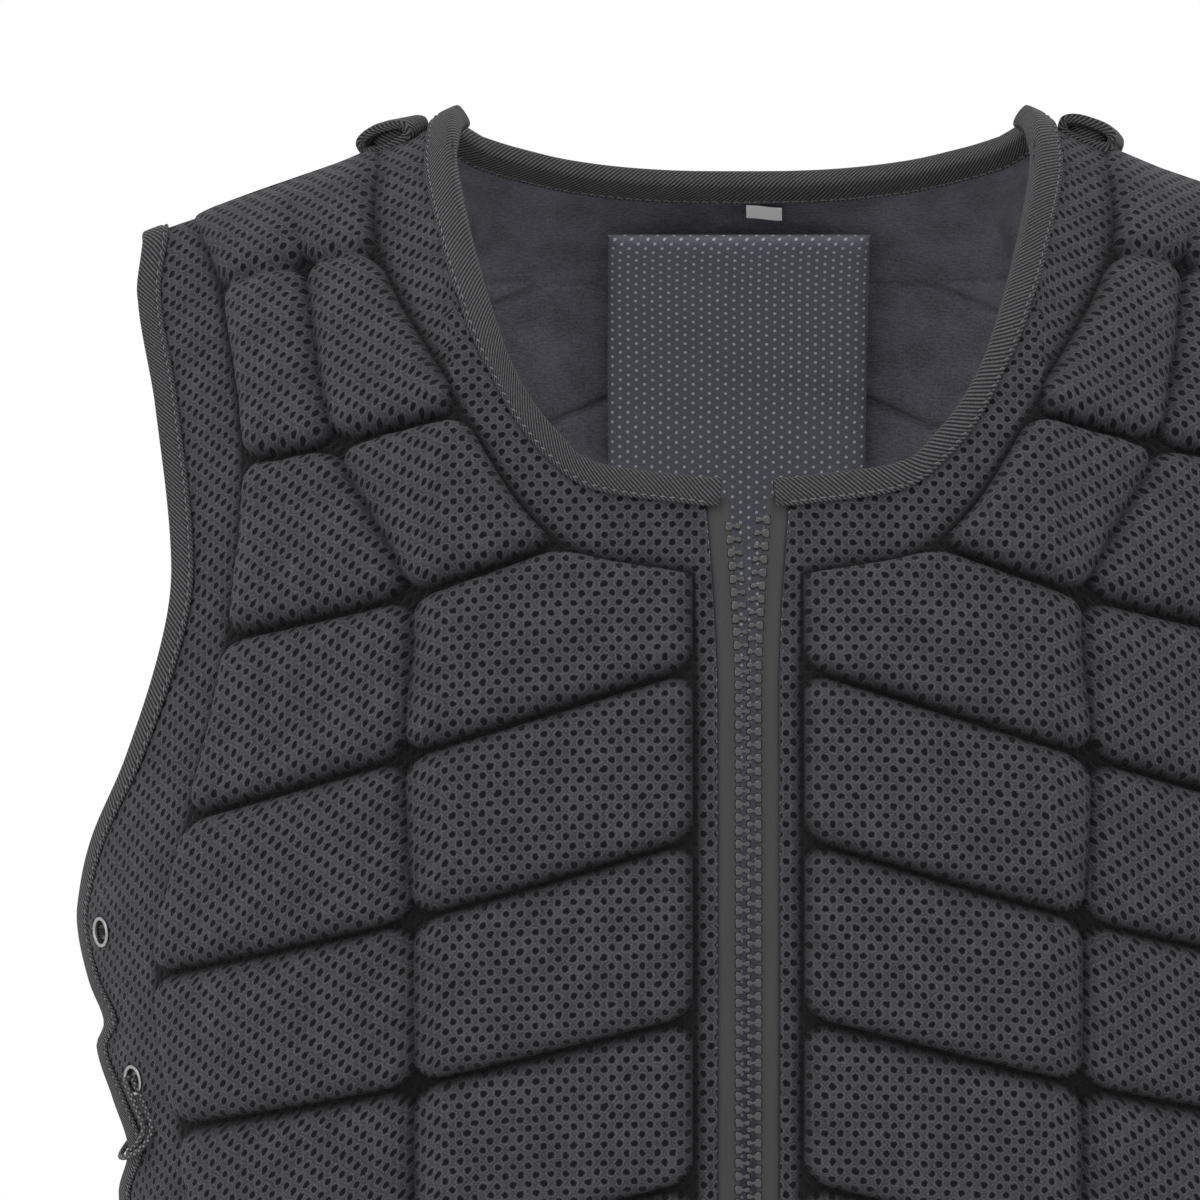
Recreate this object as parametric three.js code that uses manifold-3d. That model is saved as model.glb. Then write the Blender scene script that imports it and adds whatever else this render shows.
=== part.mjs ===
// A padded body protector for riding: two front panels closed by a zip, a back panel,
// and side edges that lace together. It stands as it is worn, open at the neck, the arms and the hem.
// Millimetres, +Z up, the front faces -Y. Right and left are the wearer's: right is -X.
// The origin lies midway between the two shoulders, level with the underside beside the neck.

import * as THREE from 'three';
import { mergeVertices } from 'three/addons/utils/BufferGeometryUtils.js';
import Module from 'manifold-3d';

const wasm = await Module();
wasm.setup();

// Overall form
const vestLength = 575;
const chestHalfWidth = 244;
const frontDepth = 130;
const backDepth = 130;
const sectionPower = 2.4;
const shoulderSlope = 0.34;
const neckStand = 9;
const neckStandReach = 18;
const shoulderLevel = -0.5;
const neckHalfWidth = 105;
const frontNeckDrop = 126;
const backNeckDrop = 6.5;

// Padding
const padThickness = 15;
const edgeThickness = 4;
const liningHollow = 2.5;
const blockFlank = 6;
const seamShare = 0.55;
const shoulderPadding = 9;
const neckSink = 0.5;
const armSink = 0.2;
const rollOver = [0.08, 0.35];

// Bindings, zip and lace
const clearance = 0.3;
const neckClearance = 0.9;
const rimClearance = 0.4;
const bindingWidth = 9;
const bindingWall = 1.2;
const zipEdge = 11;
const zipSpread = 4.5;
const zipSpreadDrop = 200;
const zipSpreadPower = 1.6;
const zipSteps = 16;
const toothWidth = 4.6;
const toothThickness = 3.2;
const tapeThickness = 1.6;
const sliderLength = 12;
const sliderThickness = 7;
const boxLength = 7;
const pullLength = 26;
const pullWidth = 6;
const pullThickness = 1.6;
const eyeletRadius = 5.5;
const eyeletBore = 3.6;
const eyeletThickness = 1.2;
const eyeletInset = 23.5;
const eyeletPitchShare = 0.0904;
const firstEyeletShare = 0.4974;
const eyeletCount = 5;
const laceWidth = 5;
const eyeletHoleSides = 6;
const eyeletSides = 7;
const eyeletBevel = 0.5;
const freePairs = 1;

// Spine pad, label and shoulder loops
const spineHalfWidth = 49;
const spineTopDrop = 24;
const spineLeanDrop = 75;
const spineLength = 473;
const spineThickness = 11;
const spineEdge = 5;
const spineGap = 2.4;
const spineTopLift = 6;
const spineLiftShare = 0.14;
const labelWidth = 13;
const labelHeight = 6;
const labelThickness = 0.5;
const labelOffset = 9;
const labelTilt = 0.2;
const loopWidth = 25;
const loopHeight = 9;
const loopLength = 20;
const loopWall = 1.6;
const loopBend = 2.2;
const loopOffset = 18;
const loopRest = 0.8;

// Nearer the shoulder line than this, the surface faces as the shoulder does.
const crestReach = 0.5;

const grooveDepth = padThickness - liningHollow - edgeThickness;
const topHeight = padThickness;
const eyeletPitch = eyeletPitchShare * vestLength;

// A table: the names of its columns, then one row for each section.
function table(columns, rows) {
  const names = columns.split(' ');
  return rows.map((row) => Object.fromEntries(names.map((name, i) => [name, row[i]])));
}

// The half width of the body, as a share of chestHalfWidth, down the length.
const widths = table('drop width', [
  [0.00, 0.990],
  [0.17, 1.000],
  [0.35, 1.000],
  [0.48, 1.012],
  [0.55, 0.990],
  [0.63, 0.962],
  [0.75, 0.938],
  [0.87, 0.950],
  [1.00, 0.970],
]);

// How far the form stands forward and back below the shoulder line, as shares of its depths.
const depths = table('fall front back', [
  [0.0000, 0.000, 0.000],
  [0.0175, 0.230, 0.270],
  [0.0435, 0.370, 0.500],
  [0.0870, 0.530, 0.700],
  [0.1740, 0.750, 0.900],
  [0.2600, 0.870, 0.990],
  [0.4000, 0.975, 1.000],
  [0.5200, 1.000, 0.950],
  [0.7000, 0.955, 0.850],
  [0.8000, 0.930, 0.840],
  [1.0000, 0.990, 0.930],
]);
depths.forEach((row) => { row.root = Math.sqrt(row.fall); });

// The outer edge of every panel: the armhole, then the side edge that the lace draws in.
const rimLine = table('drop width', [
  [0.068, 0.876],
  [0.100, 0.892],
  [0.170, 0.864],
  [0.270, 0.837],
  [0.320, 0.854],
  [0.390, 0.912],
  [0.440, 0.969],
  [0.480, 0.993],
  [0.500, 0.993],
  [0.530, 0.974],
  [0.553, 0.949],
  [0.570, 0.965],
  [0.600, 0.938],
  [0.630, 0.912],
  [0.660, 0.932],
  [0.750, 0.904],
  [0.870, 0.921],
  [1.000, 0.944],
]);

// The necklines, from the shoulder to the middle, as shares of their half width and drop.
const frontNeck = table('station width drop', [
  [0, 1.000, 0.000],
  [1, 0.985, 0.155],
  [2, 0.913, 0.372],
  [3, 0.816, 0.589],
  [4, 0.704, 0.760],
  [5, 0.563, 0.884],
  [6, 0.408, 0.961],
  [7, 0.000, 1.000],
]);
const backNeck = table('station width drop', [
  [0, 1.000, 0.000],
  [1, 0.950, 0.150],
  [2, 0.860, 0.370],
  [3, 0.760, 0.560],
  [4, 0.600, 0.770],
  [5, 0.400, 0.920],
  [6, 0.200, 0.990],
  [7, 0.000, 1.000],
]);

// The grooves between the foam blocks. Each row is a line across a panel, from its inner edge
// through the block's inner edge, the upright seam and the block's outer edge to the rim.
// cut is the depth of the groove, as a share of the full one.
const frontLines = table('neck edge blockX block seamX seam sideX side rim cut', [
  [0.0, null, 0.531, null, 0.663, null, 0.808, null, null, 0.00],
  [1.9, null, 0.534, 0.076, 0.642, 0.083, 0.771, 0.097, 0.102, 0.40],
  [3.4, null, 0.405, 0.176, 0.591, 0.196, 0.734, 0.207, 0.213, 1.00],
  [5.6, null, 0.261, 0.257, 0.484, 0.289, 0.756, 0.316, 0.323, 1.00],
  [7.0, null, 0.075, 0.275, 0.485, 0.299, 0.761, 0.326, 0.333, 0.00],
  [null, 0.327, 0.075, 0.332, 0.489, 0.386, 0.813, 0.425, 0.434, 1.00],
  [null, 0.431, 0.075, 0.435, 0.476, 0.484, 0.863, 0.522, 0.529, 1.00],
  [null, 0.537, 0.075, 0.542, 0.473, 0.584, 0.828, 0.614, 0.620, 1.00],
  [null, 0.637, 0.075, 0.641, 0.473, 0.683, 0.792, 0.711, 0.718, 1.00],
  [null, 0.740, 0.075, 0.744, 0.473, 0.786, 0.775, 0.814, 0.821, 1.00],
  [null, 0.843, 0.075, 0.848, 0.473, 0.890, 0.785, 0.916, 0.923, 1.00],
  [null, 0.955, 0.075, 0.955, 0.473, 0.955, 0.805, 0.948, 0.945, 1.00],
  [null, 1.000, 0.075, 1.000, 0.473, 1.000, 0.805, 0.993, 0.990, 1.00],
]);
const backLines = table('neck edge blockX block seamX seam sideX side rim cut', [
  [0.0, null, 0.531, null, 0.663, null, 0.808, null, null, 0.00],
  [1.7, null, 0.488, 0.066, 0.642, 0.083, 0.771, 0.097, 0.102, 0.40],
  [4.3, null, 0.293, 0.076, 0.591, 0.134, 0.746, 0.168, 0.174, 1.00],
  [7.0, null, 0.025, 0.078, 0.586, 0.144, 0.746, 0.178, 0.184, 0.00],
  [null, 0.118, 0.025, 0.123, 0.533, 0.219, 0.737, 0.253, 0.260, 1.00],
  [null, 0.236, 0.025, 0.240, 0.484, 0.314, 0.778, 0.350, 0.357, 1.00],
  [null, 0.355, 0.025, 0.358, 0.476, 0.424, 0.819, 0.462, 0.468, 1.00],
  [null, 0.473, 0.025, 0.476, 0.476, 0.541, 0.824, 0.575, 0.581, 1.00],
  [null, 0.591, 0.025, 0.594, 0.473, 0.656, 0.800, 0.688, 0.694, 1.00],
  [null, 0.710, 0.025, 0.713, 0.473, 0.774, 0.775, 0.803, 0.809, 1.00],
  [null, 0.828, 0.025, 0.831, 0.473, 0.890, 0.785, 0.916, 0.922, 1.00],
  [null, 0.955, 0.025, 0.955, 0.473, 0.955, 0.805, 0.948, 0.945, 1.00],
  [null, 1.000, 0.025, 1.000, 0.473, 1.000, 0.805, 0.993, 0.990, 1.00],
]);

// The value of a table's column at a place in its key column, on a smooth curve.
function follow(rows, key, column, at) {
  const found = rows.findIndex((row) => row[key] > at);
  const from = THREE.MathUtils.clamp(found < 0 ? rows.length : found, 1, rows.length - 1) - 1;
  const slope = (k) => {
    const before = rows[Math.max(k - 1, 0)];
    const after = rows[Math.min(k + 1, rows.length - 1)];
    return (after[column] - before[column]) / (after[key] - before[key]);
  };
  const a = rows[from];
  const b = rows[from + 1];
  const run = b[key] - a[key];
  const t = THREE.MathUtils.clamp((at - a[key]) / run, 0, 1);
  const blend = t * t * (3 - 2 * t);
  const ease = t * (1 - t) * run;
  return a[column] * (1 - blend) + b[column] * blend
    + ease * ((1 - t) * slope(from) - t * slope(from + 1));
}

// The body's surface: the outside of the padding
const bodyWidth = (drop) => chestHalfWidth * follow(widths, 'drop', 'width', drop / vestLength);
const rimX = (drop) => chestHalfWidth * follow(rimLine, 'drop', 'width', drop / vestLength);

// The shoulder line falls evenly from the neck, where it stands up to the binding.
function shoulderDrop(x) {
  const out = Math.max(Math.abs(x) - neckHalfWidth, 0);
  return shoulderLevel + shoulderSlope * out - neckStand * Math.exp(-out / neckStandReach);
}

function shoulderFall(x) {
  const out = Math.max(Math.abs(x) - neckHalfWidth, 0);
  return shoulderSlope + neckStand / neckStandReach * Math.exp(-out / neckStandReach);
}

function bodyDepth(fall, face) {
  const root = Math.sqrt(Math.max(fall, 0) / vestLength);
  if (face < 0) return frontDepth * follow(depths, 'root', 'front', root);
  return backDepth * follow(depths, 'root', 'back', root);
}

// The point at a turn round the body and a drop from the top: x = width sin(turn), and the depth
// fades to the side as a superellipse. face is -1 on the front and 1 on the back.
function skinAt(turn, drop, face) {
  const across = Math.sin(turn);
  const x = bodyWidth(drop) * across;
  const bulge = (1 - Math.abs(across) ** sectionPower) ** (1 / sectionPower);
  const depth = bodyDepth(drop - shoulderDrop(x), face) * bulge;
  return new THREE.Vector3(x, face * depth, topHeight - drop);
}

const turnOf = (x, drop) => Math.asin(x / bodyWidth(drop));

function facing(x, drop, face) {
  if (drop - shoulderDrop(x) < crestReach) {
    return new THREE.Vector3(Math.sign(x) * shoulderFall(x), 0, 1).normalize();
  }
  const turn = turnOf(x, drop);
  const step = 0.002;
  const round = skinAt(turn + step, drop, face).sub(skinAt(turn - step, drop, face));
  const down = skinAt(turn, drop + 0.4, face).sub(skinAt(turn, drop - 0.4, face));
  const normal = round.cross(down).normalize();
  const outward = skinAt(turn, drop, face).add(new THREE.Vector3(0, 0, vestLength / 2));
  return normal.dot(outward) < 0 ? normal.negate() : normal;
}

// A point that lies a given height above the skin, or below it where the height is negative.
function lifted(x, drop, face, height) {
  return skinAt(turnOf(x, drop), drop, face).addScaledVector(facing(x, drop, face), height);
}

// Places in the front view: x from the middle and drop from the top
const mix = (a, b, t) => ({ x: a.x + (b.x - a.x) * t, drop: a.drop + (b.drop - a.drop) * t });

function spacing(a, b, face) {
  return skinAt(turnOf(a.x, a.drop), a.drop, face).distanceTo(skinAt(turnOf(b.x, b.drop), b.drop, face));
}

// The place a true distance away from one place towards another
function toward(from, to, distance, face) {
  let share = distance / spacing(from, to, face);
  for (let i = 0; i < 6; i += 1) share *= distance / spacing(from, mix(from, to, share), face);
  return mix(from, to, share);
}

function zipShift(drop) {
  const share = Math.max(zipSpreadDrop - drop, 0) / (zipSpreadDrop - frontNeckDrop);
  return zipSpread * share ** zipSpreadPower;
}
const zipX = (drop) => zipEdge + zipShift(drop);

// The five main places of a line across a panel: a share t of the way from line k to the next.
function lineAt(panel, k, t) {
  const { lines, neck, neckDrop, middle } = panel;
  const a = lines[k];
  const b = lines[Math.min(k + 1, lines.length - 1)];
  const place = (column) => {
    const x = chestHalfWidth * (a[`${column}X`] * (1 - t) + b[`${column}X`] * t);
    const from = a[column] === null ? shoulderDrop(x) : a[column] * vestLength;
    return { x, drop: from + (b[column] * vestLength - from) * t };
  };
  const rimFrom = a.rim === null ? shoulderDrop(rimX(0)) : a.rim * vestLength;
  const rimDrop = rimFrom + (b.rim * vestLength - rimFrom) * t;
  const rim = { x: a.rim === null && t === 0 ? rimX(0) : rimX(rimDrop), drop: rimDrop };
  const edge = edgeAt(a, b, t, neck, neckDrop, middle);
  return { edge, block: place('block'), seam: place('seam'), side: place('side'), rim };
}

// The inner edge: a station on the neckline, then down the middle
function edgeAt(a, b, t, neck, neckDrop, middle) {
  if (a.neck !== null && (b.neck !== null || t === 0)) {
    const station = a.neck + ((b.neck ?? a.neck) - a.neck) * t;
    const top = shoulderDrop(0);
    const drop = top + (neckDrop - top) * follow(neck, 'station', 'drop', station);
    const corner = middle(neckDrop);
    const x = corner + (neckHalfWidth - corner) * follow(neck, 'station', 'width', station);
    return { x, drop };
  }
  const from = a.neck === null ? a.edge * vestLength : neckDrop;
  const drop = from + (b.edge * vestLength - from) * t;
  return { x: middle(drop), drop };
}

// One line of a panel's grid: twelve nodes, with the depth of the groove at each. In the first
// band, across the shoulder, the thin edges rise to the padding and the padding thins out.
function gridLine(panel, k, t, cut) {
  const { face } = panel;
  const { edge, block, seam, side, rim } = lineAt(panel, k, t);
  const seamCut = k === 0 ? 0 : seamShare;
  const grown = k === 0 ? t : 1;
  const neckCut = neckSink + (1 - neckSink) * grown;
  const armCut = armSink + (1 - armSink) * grown;
  const padding = shoulderPadding + (padThickness - shoulderPadding) * grown;
  const inner = blockFlank / spacing(block, seam, face);
  const outer = blockFlank / spacing(seam, side, face);
  const lip = toward(rim, side, bindingWidth, face);
  const strip = (place, share) => node(place, face, Math.max(cut, share), edgeThickness);
  const foam = (place, share) => {
    const depth = Math.max(cut, share);
    return node(place, face, depth, padding - (liningHollow + grooveDepth) * depth);
  };
  return [
    strip(edge, neckCut),
    strip(block, armCut),
    foam(mix(block, seam, inner), 0),
    foam(mix(block, seam, 0.5), 0),
    foam(mix(seam, block, inner), 0),
    foam(seam, seamCut),
    foam(mix(seam, side, outer), 0),
    foam(mix(seam, side, 0.5), 0),
    foam(mix(side, seam, outer), 0),
    strip(side, armCut),
    strip(lip, armCut),
    strip(rim, armCut),
  ];
}

// A point of a panel: its outside, where cut is the depth of the groove, and its inside.
function node({ x, drop }, face, cut, thickness) {
  const normal = facing(x, drop, face);
  const skin = skinAt(turnOf(x, drop), drop, face);
  if (drop - shoulderDrop(x) < crestReach) skin.y = face * clearance / 2;
  const outer = skin.clone().addScaledVector(normal, -grooveDepth * cut);
  const inner = outer.clone().addScaledVector(normal, -thickness);
  return { outer, inner, normal };
}

// A whole panel: every groove line, with a line on each flank of the blocks between them.
function panelGrid(panel) {
  const { lines, face } = panel;
  const grid = [];
  lines.forEach((line, k) => {
    grid.push(gridLine(panel, k, 0, line.cut));
    const next = lines[k + 1];
    if (!next || k === lines.length - 2) return;
    if (k === 0) rollOver.forEach((share) => grid.push(gridLine(panel, k, share, 0)));
    const height = spacing(lineAt(panel, k, 0).seam, lineAt(panel, k + 1, 0).seam, face);
    if (line.cut > 0 && next.cut > 0) grid.push(gridLine(panel, k, blockFlank / height, 0));
    if (next.cut > 0) grid.push(gridLine(panel, k, 1 - blockFlank / height, 0));
  });
  return grid;
}

// Bodies as lists of corners and faces
function shell(grid, openFrom = grid.length) {
  const rows = grid.length;
  const columns = grid[0].length;
  const corners = [...grid.flat().map((n) => n.outer), ...grid.flat().map((n) => n.inner)];
  const out = (i, j) => i * columns + j;
  const inn = (i, j) => rows * columns + out(i, j);
  const faces = [];
  const quad = (a, b, c, d) => faces.push([a, b, c], [a, c, d]);
  for (let i = 0; i + 1 < rows; i += 1) {
    for (let j = 0; j + 1 < columns; j += 1) {
      quad(out(i, j), out(i + 1, j), out(i + 1, j + 1), out(i, j + 1));
      quad(inn(i, j), inn(i, j + 1), inn(i + 1, j + 1), inn(i + 1, j));
    }
    if (i < openFrom) quad(inn(i, 0), inn(i + 1, 0), out(i + 1, 0), out(i, 0));
    quad(out(i, columns - 1), out(i + 1, columns - 1), inn(i + 1, columns - 1), inn(i, columns - 1));
  }
  for (let j = 0; j + 1 < columns; j += 1) {
    quad(out(0, j), out(0, j + 1), inn(0, j + 1), inn(0, j));
    quad(out(rows - 1, j), inn(rows - 1, j), inn(rows - 1, j + 1), out(rows - 1, j + 1));
  }
  return { corners, faces };
}

// Skins loops of corners. The sides named in turned are split on their other diagonal.
function sweep(loops, caps, turned = [], closeEnd = true) {
  const sides = loops[0].length;
  const corners = loops.flat();
  const faces = [];
  for (let i = 0; i + 1 < loops.length; i += 1) {
    for (let j = 0; j < sides; j += 1) {
      const next = (j + 1) % sides;
      const a = i * sides + j;
      const b = i * sides + next;
      const c = (i + 1) * sides + next;
      const d = (i + 1) * sides + j;
      if (turned.includes(j)) {
        faces.push([a, b, d], [b, c, d]);
      } else {
        faces.push([a, b, c], [a, c, d]);
      }
    }
  }
  const end = (loops.length - 1) * sides;
  caps.forEach((cap) => {
    for (let i = 1; i + 1 < cap.length; i += 1) {
      faces.push([cap[0], cap[i + 1], cap[i]]);
      if (closeEnd) faces.push([end + cap[0], end + cap[i], end + cap[i + 1]]);
    }
  });
  return { corners, faces };
}

const rectangleCap = [[0, 1, 2, 3]];
const pentagonCap = [[0, 1, 2, 3, 4]];
const channelCap = [[0, 1, 5], [1, 2, 4, 5], [2, 3, 4]];

// A channel's sides whose diagonals turn, so that its legs follow the panel's faces
const turnedNeck = [0, 3];
const turnedRim = [2, 5];

const flipped = (body) => ({
  corners: body.corners.map((p) => new THREE.Vector3(-p.x, p.y, p.z)),
  faces: body.faces.map(([a, b, c]) => [a, c, b]),
});

function joined(a, b) {
  const shift = a.corners.length;
  return {
    corners: [...a.corners, ...b.corners],
    faces: [...a.faces, ...b.faces.map((face) => face.map((corner) => corner + shift))],
  };
}

// A closed geometry with shared corners and its faces turned outwards.
function solid(body) {
  const raw = new THREE.BufferGeometry();
  const places = body.corners.flatMap((p) => [p.x, p.y, p.z]);
  raw.setAttribute('position', new THREE.Float32BufferAttribute(places, 3));
  raw.setIndex(body.faces.flat());
  const geometry = mergeVertices(raw, 1e-3);
  if (volume(geometry) < 0) {
    const turned = Array.from(geometry.index.array);
    for (let i = 0; i < turned.length; i += 3) {
      [turned[i + 1], turned[i + 2]] = [turned[i + 2], turned[i + 1]];
    }
    geometry.setIndex(turned);
  }
  geometry.computeVertexNormals();
  return geometry;
}

function volume(geometry) {
  const at = geometry.attributes.position;
  const index = geometry.index.array;
  const corner = (i) => new THREE.Vector3().fromBufferAttribute(at, index[i]);
  let sum = 0;
  for (let i = 0; i < index.length; i += 3) {
    sum += corner(i).dot(corner(i + 1).cross(corner(i + 2))) / 6;
  }
  return sum;
}

function bare(geometry) {
  const copy = geometry.clone();
  copy.deleteAttribute('normal');
  copy.deleteAttribute('uv');
  return mergeVertices(copy, 1e-3);
}

function toManifold(geometry) {
  const merged = bare(geometry);
  const vertProperties = new Float32Array(merged.attributes.position.array);
  const triVerts = new Uint32Array(merged.index.array);
  return new wasm.Manifold(new wasm.Mesh({ numProp: 3, vertProperties, triVerts }));
}

function fromManifold(form) {
  const mesh = form.getMesh();
  const geometry = new THREE.BufferGeometry();
  const places = Array.from(mesh.vertProperties);
  geometry.setAttribute('position', new THREE.Float32BufferAttribute(places, 3));
  geometry.setIndex(Array.from(mesh.triVerts));
  geometry.computeVertexNormals();
  return geometry;
}

// Finishes
function finish(color, roughness, metalness = 0) {
  return new THREE.MeshStandardMaterial({ color, roughness, metalness });
}
const meshFabric = finish(0x3c3d41, 0.9);
const lining = finish(0x3c3f46, 0.85);
const twill = finish(0x4a4a4e, 0.85);
const tapeFabric = finish(0x4a4c4e, 0.9);
const mouldedPlastic = finish(0x1c1d20, 0.35);
const nickel = finish(0xa8a9ac, 0.3, 1);
const cordFabric = finish(0x2c2d30, 0.85);
const labelFabric = finish(0xe4e4e2, 0.8);

const vest = new THREE.Group();

function add(name, geometry, material) {
  const mesh = new THREE.Mesh(geometry, material);
  mesh.name = name;
  vest.add(mesh);
  return mesh;
}

function addPair(name, body, material) {
  add(`${name}_left`, solid(body), material);
  add(`${name}_right`, solid(flipped(body)), material);
}

const frontPanel = {
  lines: frontLines,
  neck: frontNeck,
  neckDrop: frontNeckDrop,
  middle: zipX,
  face: -1,
};
const backPanel = {
  lines: backLines,
  neck: backNeck,
  neckDrop: backNeckDrop,
  middle: () => 0,
  face: 1,
};
const frontGrid = panelGrid(frontPanel);
const backGrid = panelGrid(backPanel);

// How many lines of a panel's grid end on the neckline
function neckLines({ lines }) {
  const corner = lines.findIndex((line) => line.neck === null) - 1;
  let count = 1 + rollOver.length;
  for (let k = 0; k < corner; k += 1) {
    const next = lines[k + 1];
    count += 1 + (lines[k].cut > 0 && next.cut > 0 ? 1 : 0) + (next.cut > 0 ? 1 : 0);
  }
  return count;
}
const frontNeckLines = neckLines(frontPanel);
const backNeckLines = neckLines(backPanel);

// Eyelets: places on the side strip, a set distance in from the rim
function eyeletPlace(k, face) {
  const drop = firstEyeletShare * vestLength + k * eyeletPitch;
  const rim = { x: rimX(drop), drop };
  const place = toward(rim, { x: rim.x - eyeletInset, drop }, eyeletInset, face);
  return { ...place, face, normal: facing(place.x, place.drop, face) };
}

const eyeletRow = (face) => Array.from({ length: eyeletCount }, (_, k) => eyeletPlace(k, face));
const eyelets = [-1, 1].map(eyeletRow);

function withHoles(geometry, places) {
  let form = toManifold(geometry);
  places.forEach(({ x, drop, face, normal }) => {
    [1, -1].forEach((mirror) => {
      const centre = lifted(x, drop, face, -padThickness / 2);
      const depth = 2 * padThickness;
      const cutter = new THREE.CylinderGeometry(eyeletBore, eyeletBore, depth, eyeletHoleSides);
      const turn = new THREE.Quaternion().setFromUnitVectors(new THREE.Vector3(0, 1, 0), normal);
      cutter.applyQuaternion(turn).translate(centre.x, centre.y, centre.z);
      if (mirror < 0) {
        const mirrored = flipped(bodyOf(bare(cutter)));
        form = form.subtract(toManifold(solid(mirrored)));
      } else {
        form = form.subtract(toManifold(cutter));
      }
    });
  });
  return fromManifold(form);
}

function bodyOf(geometry) {
  const at = geometry.attributes.position;
  const corner = (_, i) => new THREE.Vector3().fromBufferAttribute(at, i);
  const corners = Array.from({ length: at.count }, corner);
  const faces = [];
  for (let i = 0; i < geometry.index.count; i += 3) {
    faces.push(Array.from(geometry.index.array.slice(i, i + 3)));
  }
  return { corners, faces };
}

// Panels
const frontHalf = shell(frontGrid);
const frontLeft = add('front_panel_left', withHoles(solid(frontHalf), eyelets[0]), meshFabric);
add('front_panel_right', withHoles(solid(flipped(frontHalf)), eyelets[0]), meshFabric);
const backHalf = shell(backGrid, backNeckLines - 1);
const backBody = solid(joined(backHalf, flipped(backHalf)));
const backWhole = add('back_panel', withHoles(backBody, eyelets[1]), meshFabric);

// Bindings: a channel folded over an edge, with a leg on each face of the panel
function channel(edge, inner, near, width = bindingWidth) {
  const middle = (n) => n.outer.clone().add(n.inner).multiplyScalar(0.5);
  const inwards = middle(inner).sub(middle(edge));
  const share = Math.min(width / inwards.length(), 1);
  inwards.normalize();
  const along = (from) => edge[from].clone().lerp(inner[from], share);
  const legEnd = (from, out) => along(from).addScaledVector(edge.normal, from === 'outer' ? out : -out);
  const fold = (from, out) => edge[from].clone()
    .addScaledVector(edge.normal, from === 'outer' ? out : -out)
    .addScaledVector(inwards, -out);
  const far = near + bindingWall;
  return [
    legEnd('outer', near), fold('outer', far), fold('inner', far),
    legEnd('inner', near), fold('inner', near), fold('outer', near),
  ];
}

const toSeam = (loop, face) => loop.map((p) => new THREE.Vector3(p.x, face * clearance / 2, p.z));
const toMiddle = (loop) => loop.map((p) => new THREE.Vector3(0, p.y, p.z));

function neckLoops(grid, count, face) {
  const loops = grid.slice(0, count).map((line) => channel(line[0], line[1], neckClearance));
  loops[0] = toSeam(loops[0], face);
  return loops;
}

const frontNeckLoops = neckLoops(frontGrid, frontNeckLines, -1);
const pastZip = new THREE.Vector3(toothWidth - zipEdge, 0, 0);
frontNeckLoops.push(frontNeckLoops.at(-1).map((p) => p.clone().add(pastZip)));
addPair('neck_binding_front', sweep(frontNeckLoops, channelCap, turnedNeck), twill);

const backNeckLoops = neckLoops(backGrid, backNeckLines, 1);
backNeckLoops.push(toMiddle(backNeckLoops.pop()));
const backNeckHalf = sweep(backNeckLoops, channelCap, turnedNeck, false);
add('neck_binding_back', solid(joined(backNeckHalf, flipped(backNeckHalf))), twill);

// The rim's binding stops a little above the hem's.
function rimLoops(grid, face) {
  const last = grid[0].length - 1;
  const loops = grid.map((line) => channel(line[last], line[last - 1], rimClearance, Infinity));
  const below = loops.pop();
  const above = loops.at(-1);
  const reach = 1 - (bindingWidth + 2 * clearance) / above[1].distanceTo(below[1]);
  loops.push(above.map((p, i) => p.clone().lerp(below[i], reach)));
  loops[0] = toSeam(loops[0], face);
  return loops;
}
addPair('armhole_binding_front', sweep(rimLoops(frontGrid, -1), channelCap, turnedRim), twill);
addPair('armhole_binding_back', sweep(rimLoops(backGrid, 1), channelCap, turnedRim), twill);

const hemLoops = (grid) => grid.at(-1).map((n, j) => channel(n, grid.at(-2)[j], rimClearance));
addPair('hem_binding_front', sweep(hemLoops(frontGrid), channelCap, turnedRim), twill);
const backHemLoops = hemLoops(backGrid);
backHemLoops[0] = toMiddle(backHemLoops[0]);
const backHemHalf = sweep(backHemLoops.reverse(), channelCap, turnedNeck, false);
add('hem_binding_back', solid(joined(backHemHalf, flipped(backHemHalf))), twill);

// Zip
const zipTop = frontNeckDrop + bindingWidth + bindingWall + neckClearance;
const zipFoot = vestLength - bindingWall;
const teethFoot = zipFoot - boxLength - sliderLength - 2 * clearance;
const zipDepth = grooveDepth + edgeThickness / 2;

function stripLoop(drop, fromX, toX, thickness) {
  const shift = zipShift(drop);
  return [
    lifted(fromX + shift, drop, -1, -zipDepth + thickness / 2),
    lifted(toX + shift, drop, -1, -zipDepth + thickness / 2),
    lifted(toX + shift, drop, -1, -zipDepth - thickness / 2),
    lifted(fromX + shift, drop, -1, -zipDepth - thickness / 2),
  ];
}

function stripLoops(from, to, fromX, toX, thickness) {
  return Array.from({ length: zipSteps + 1 }, (_, i) => {
    const drop = from + (to - from) * (i / zipSteps);
    return stripLoop(drop, fromX, toX, thickness);
  });
}

const teethStart = 2 / 3 * clearance;
const teethEnd = teethStart + toothWidth;
const tapeStart = teethEnd + clearance;
const teethLoops = stripLoops(zipTop, teethFoot, teethStart, teethEnd, toothThickness);
const tapeLoops = stripLoops(zipTop, zipFoot, tapeStart, zipEdge - clearance, tapeThickness);
addPair('zip_teeth', sweep(teethLoops, rectangleCap), mouldedPlastic);
addPair('zip_tape', sweep(tapeLoops, rectangleCap), tapeFabric);

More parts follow.
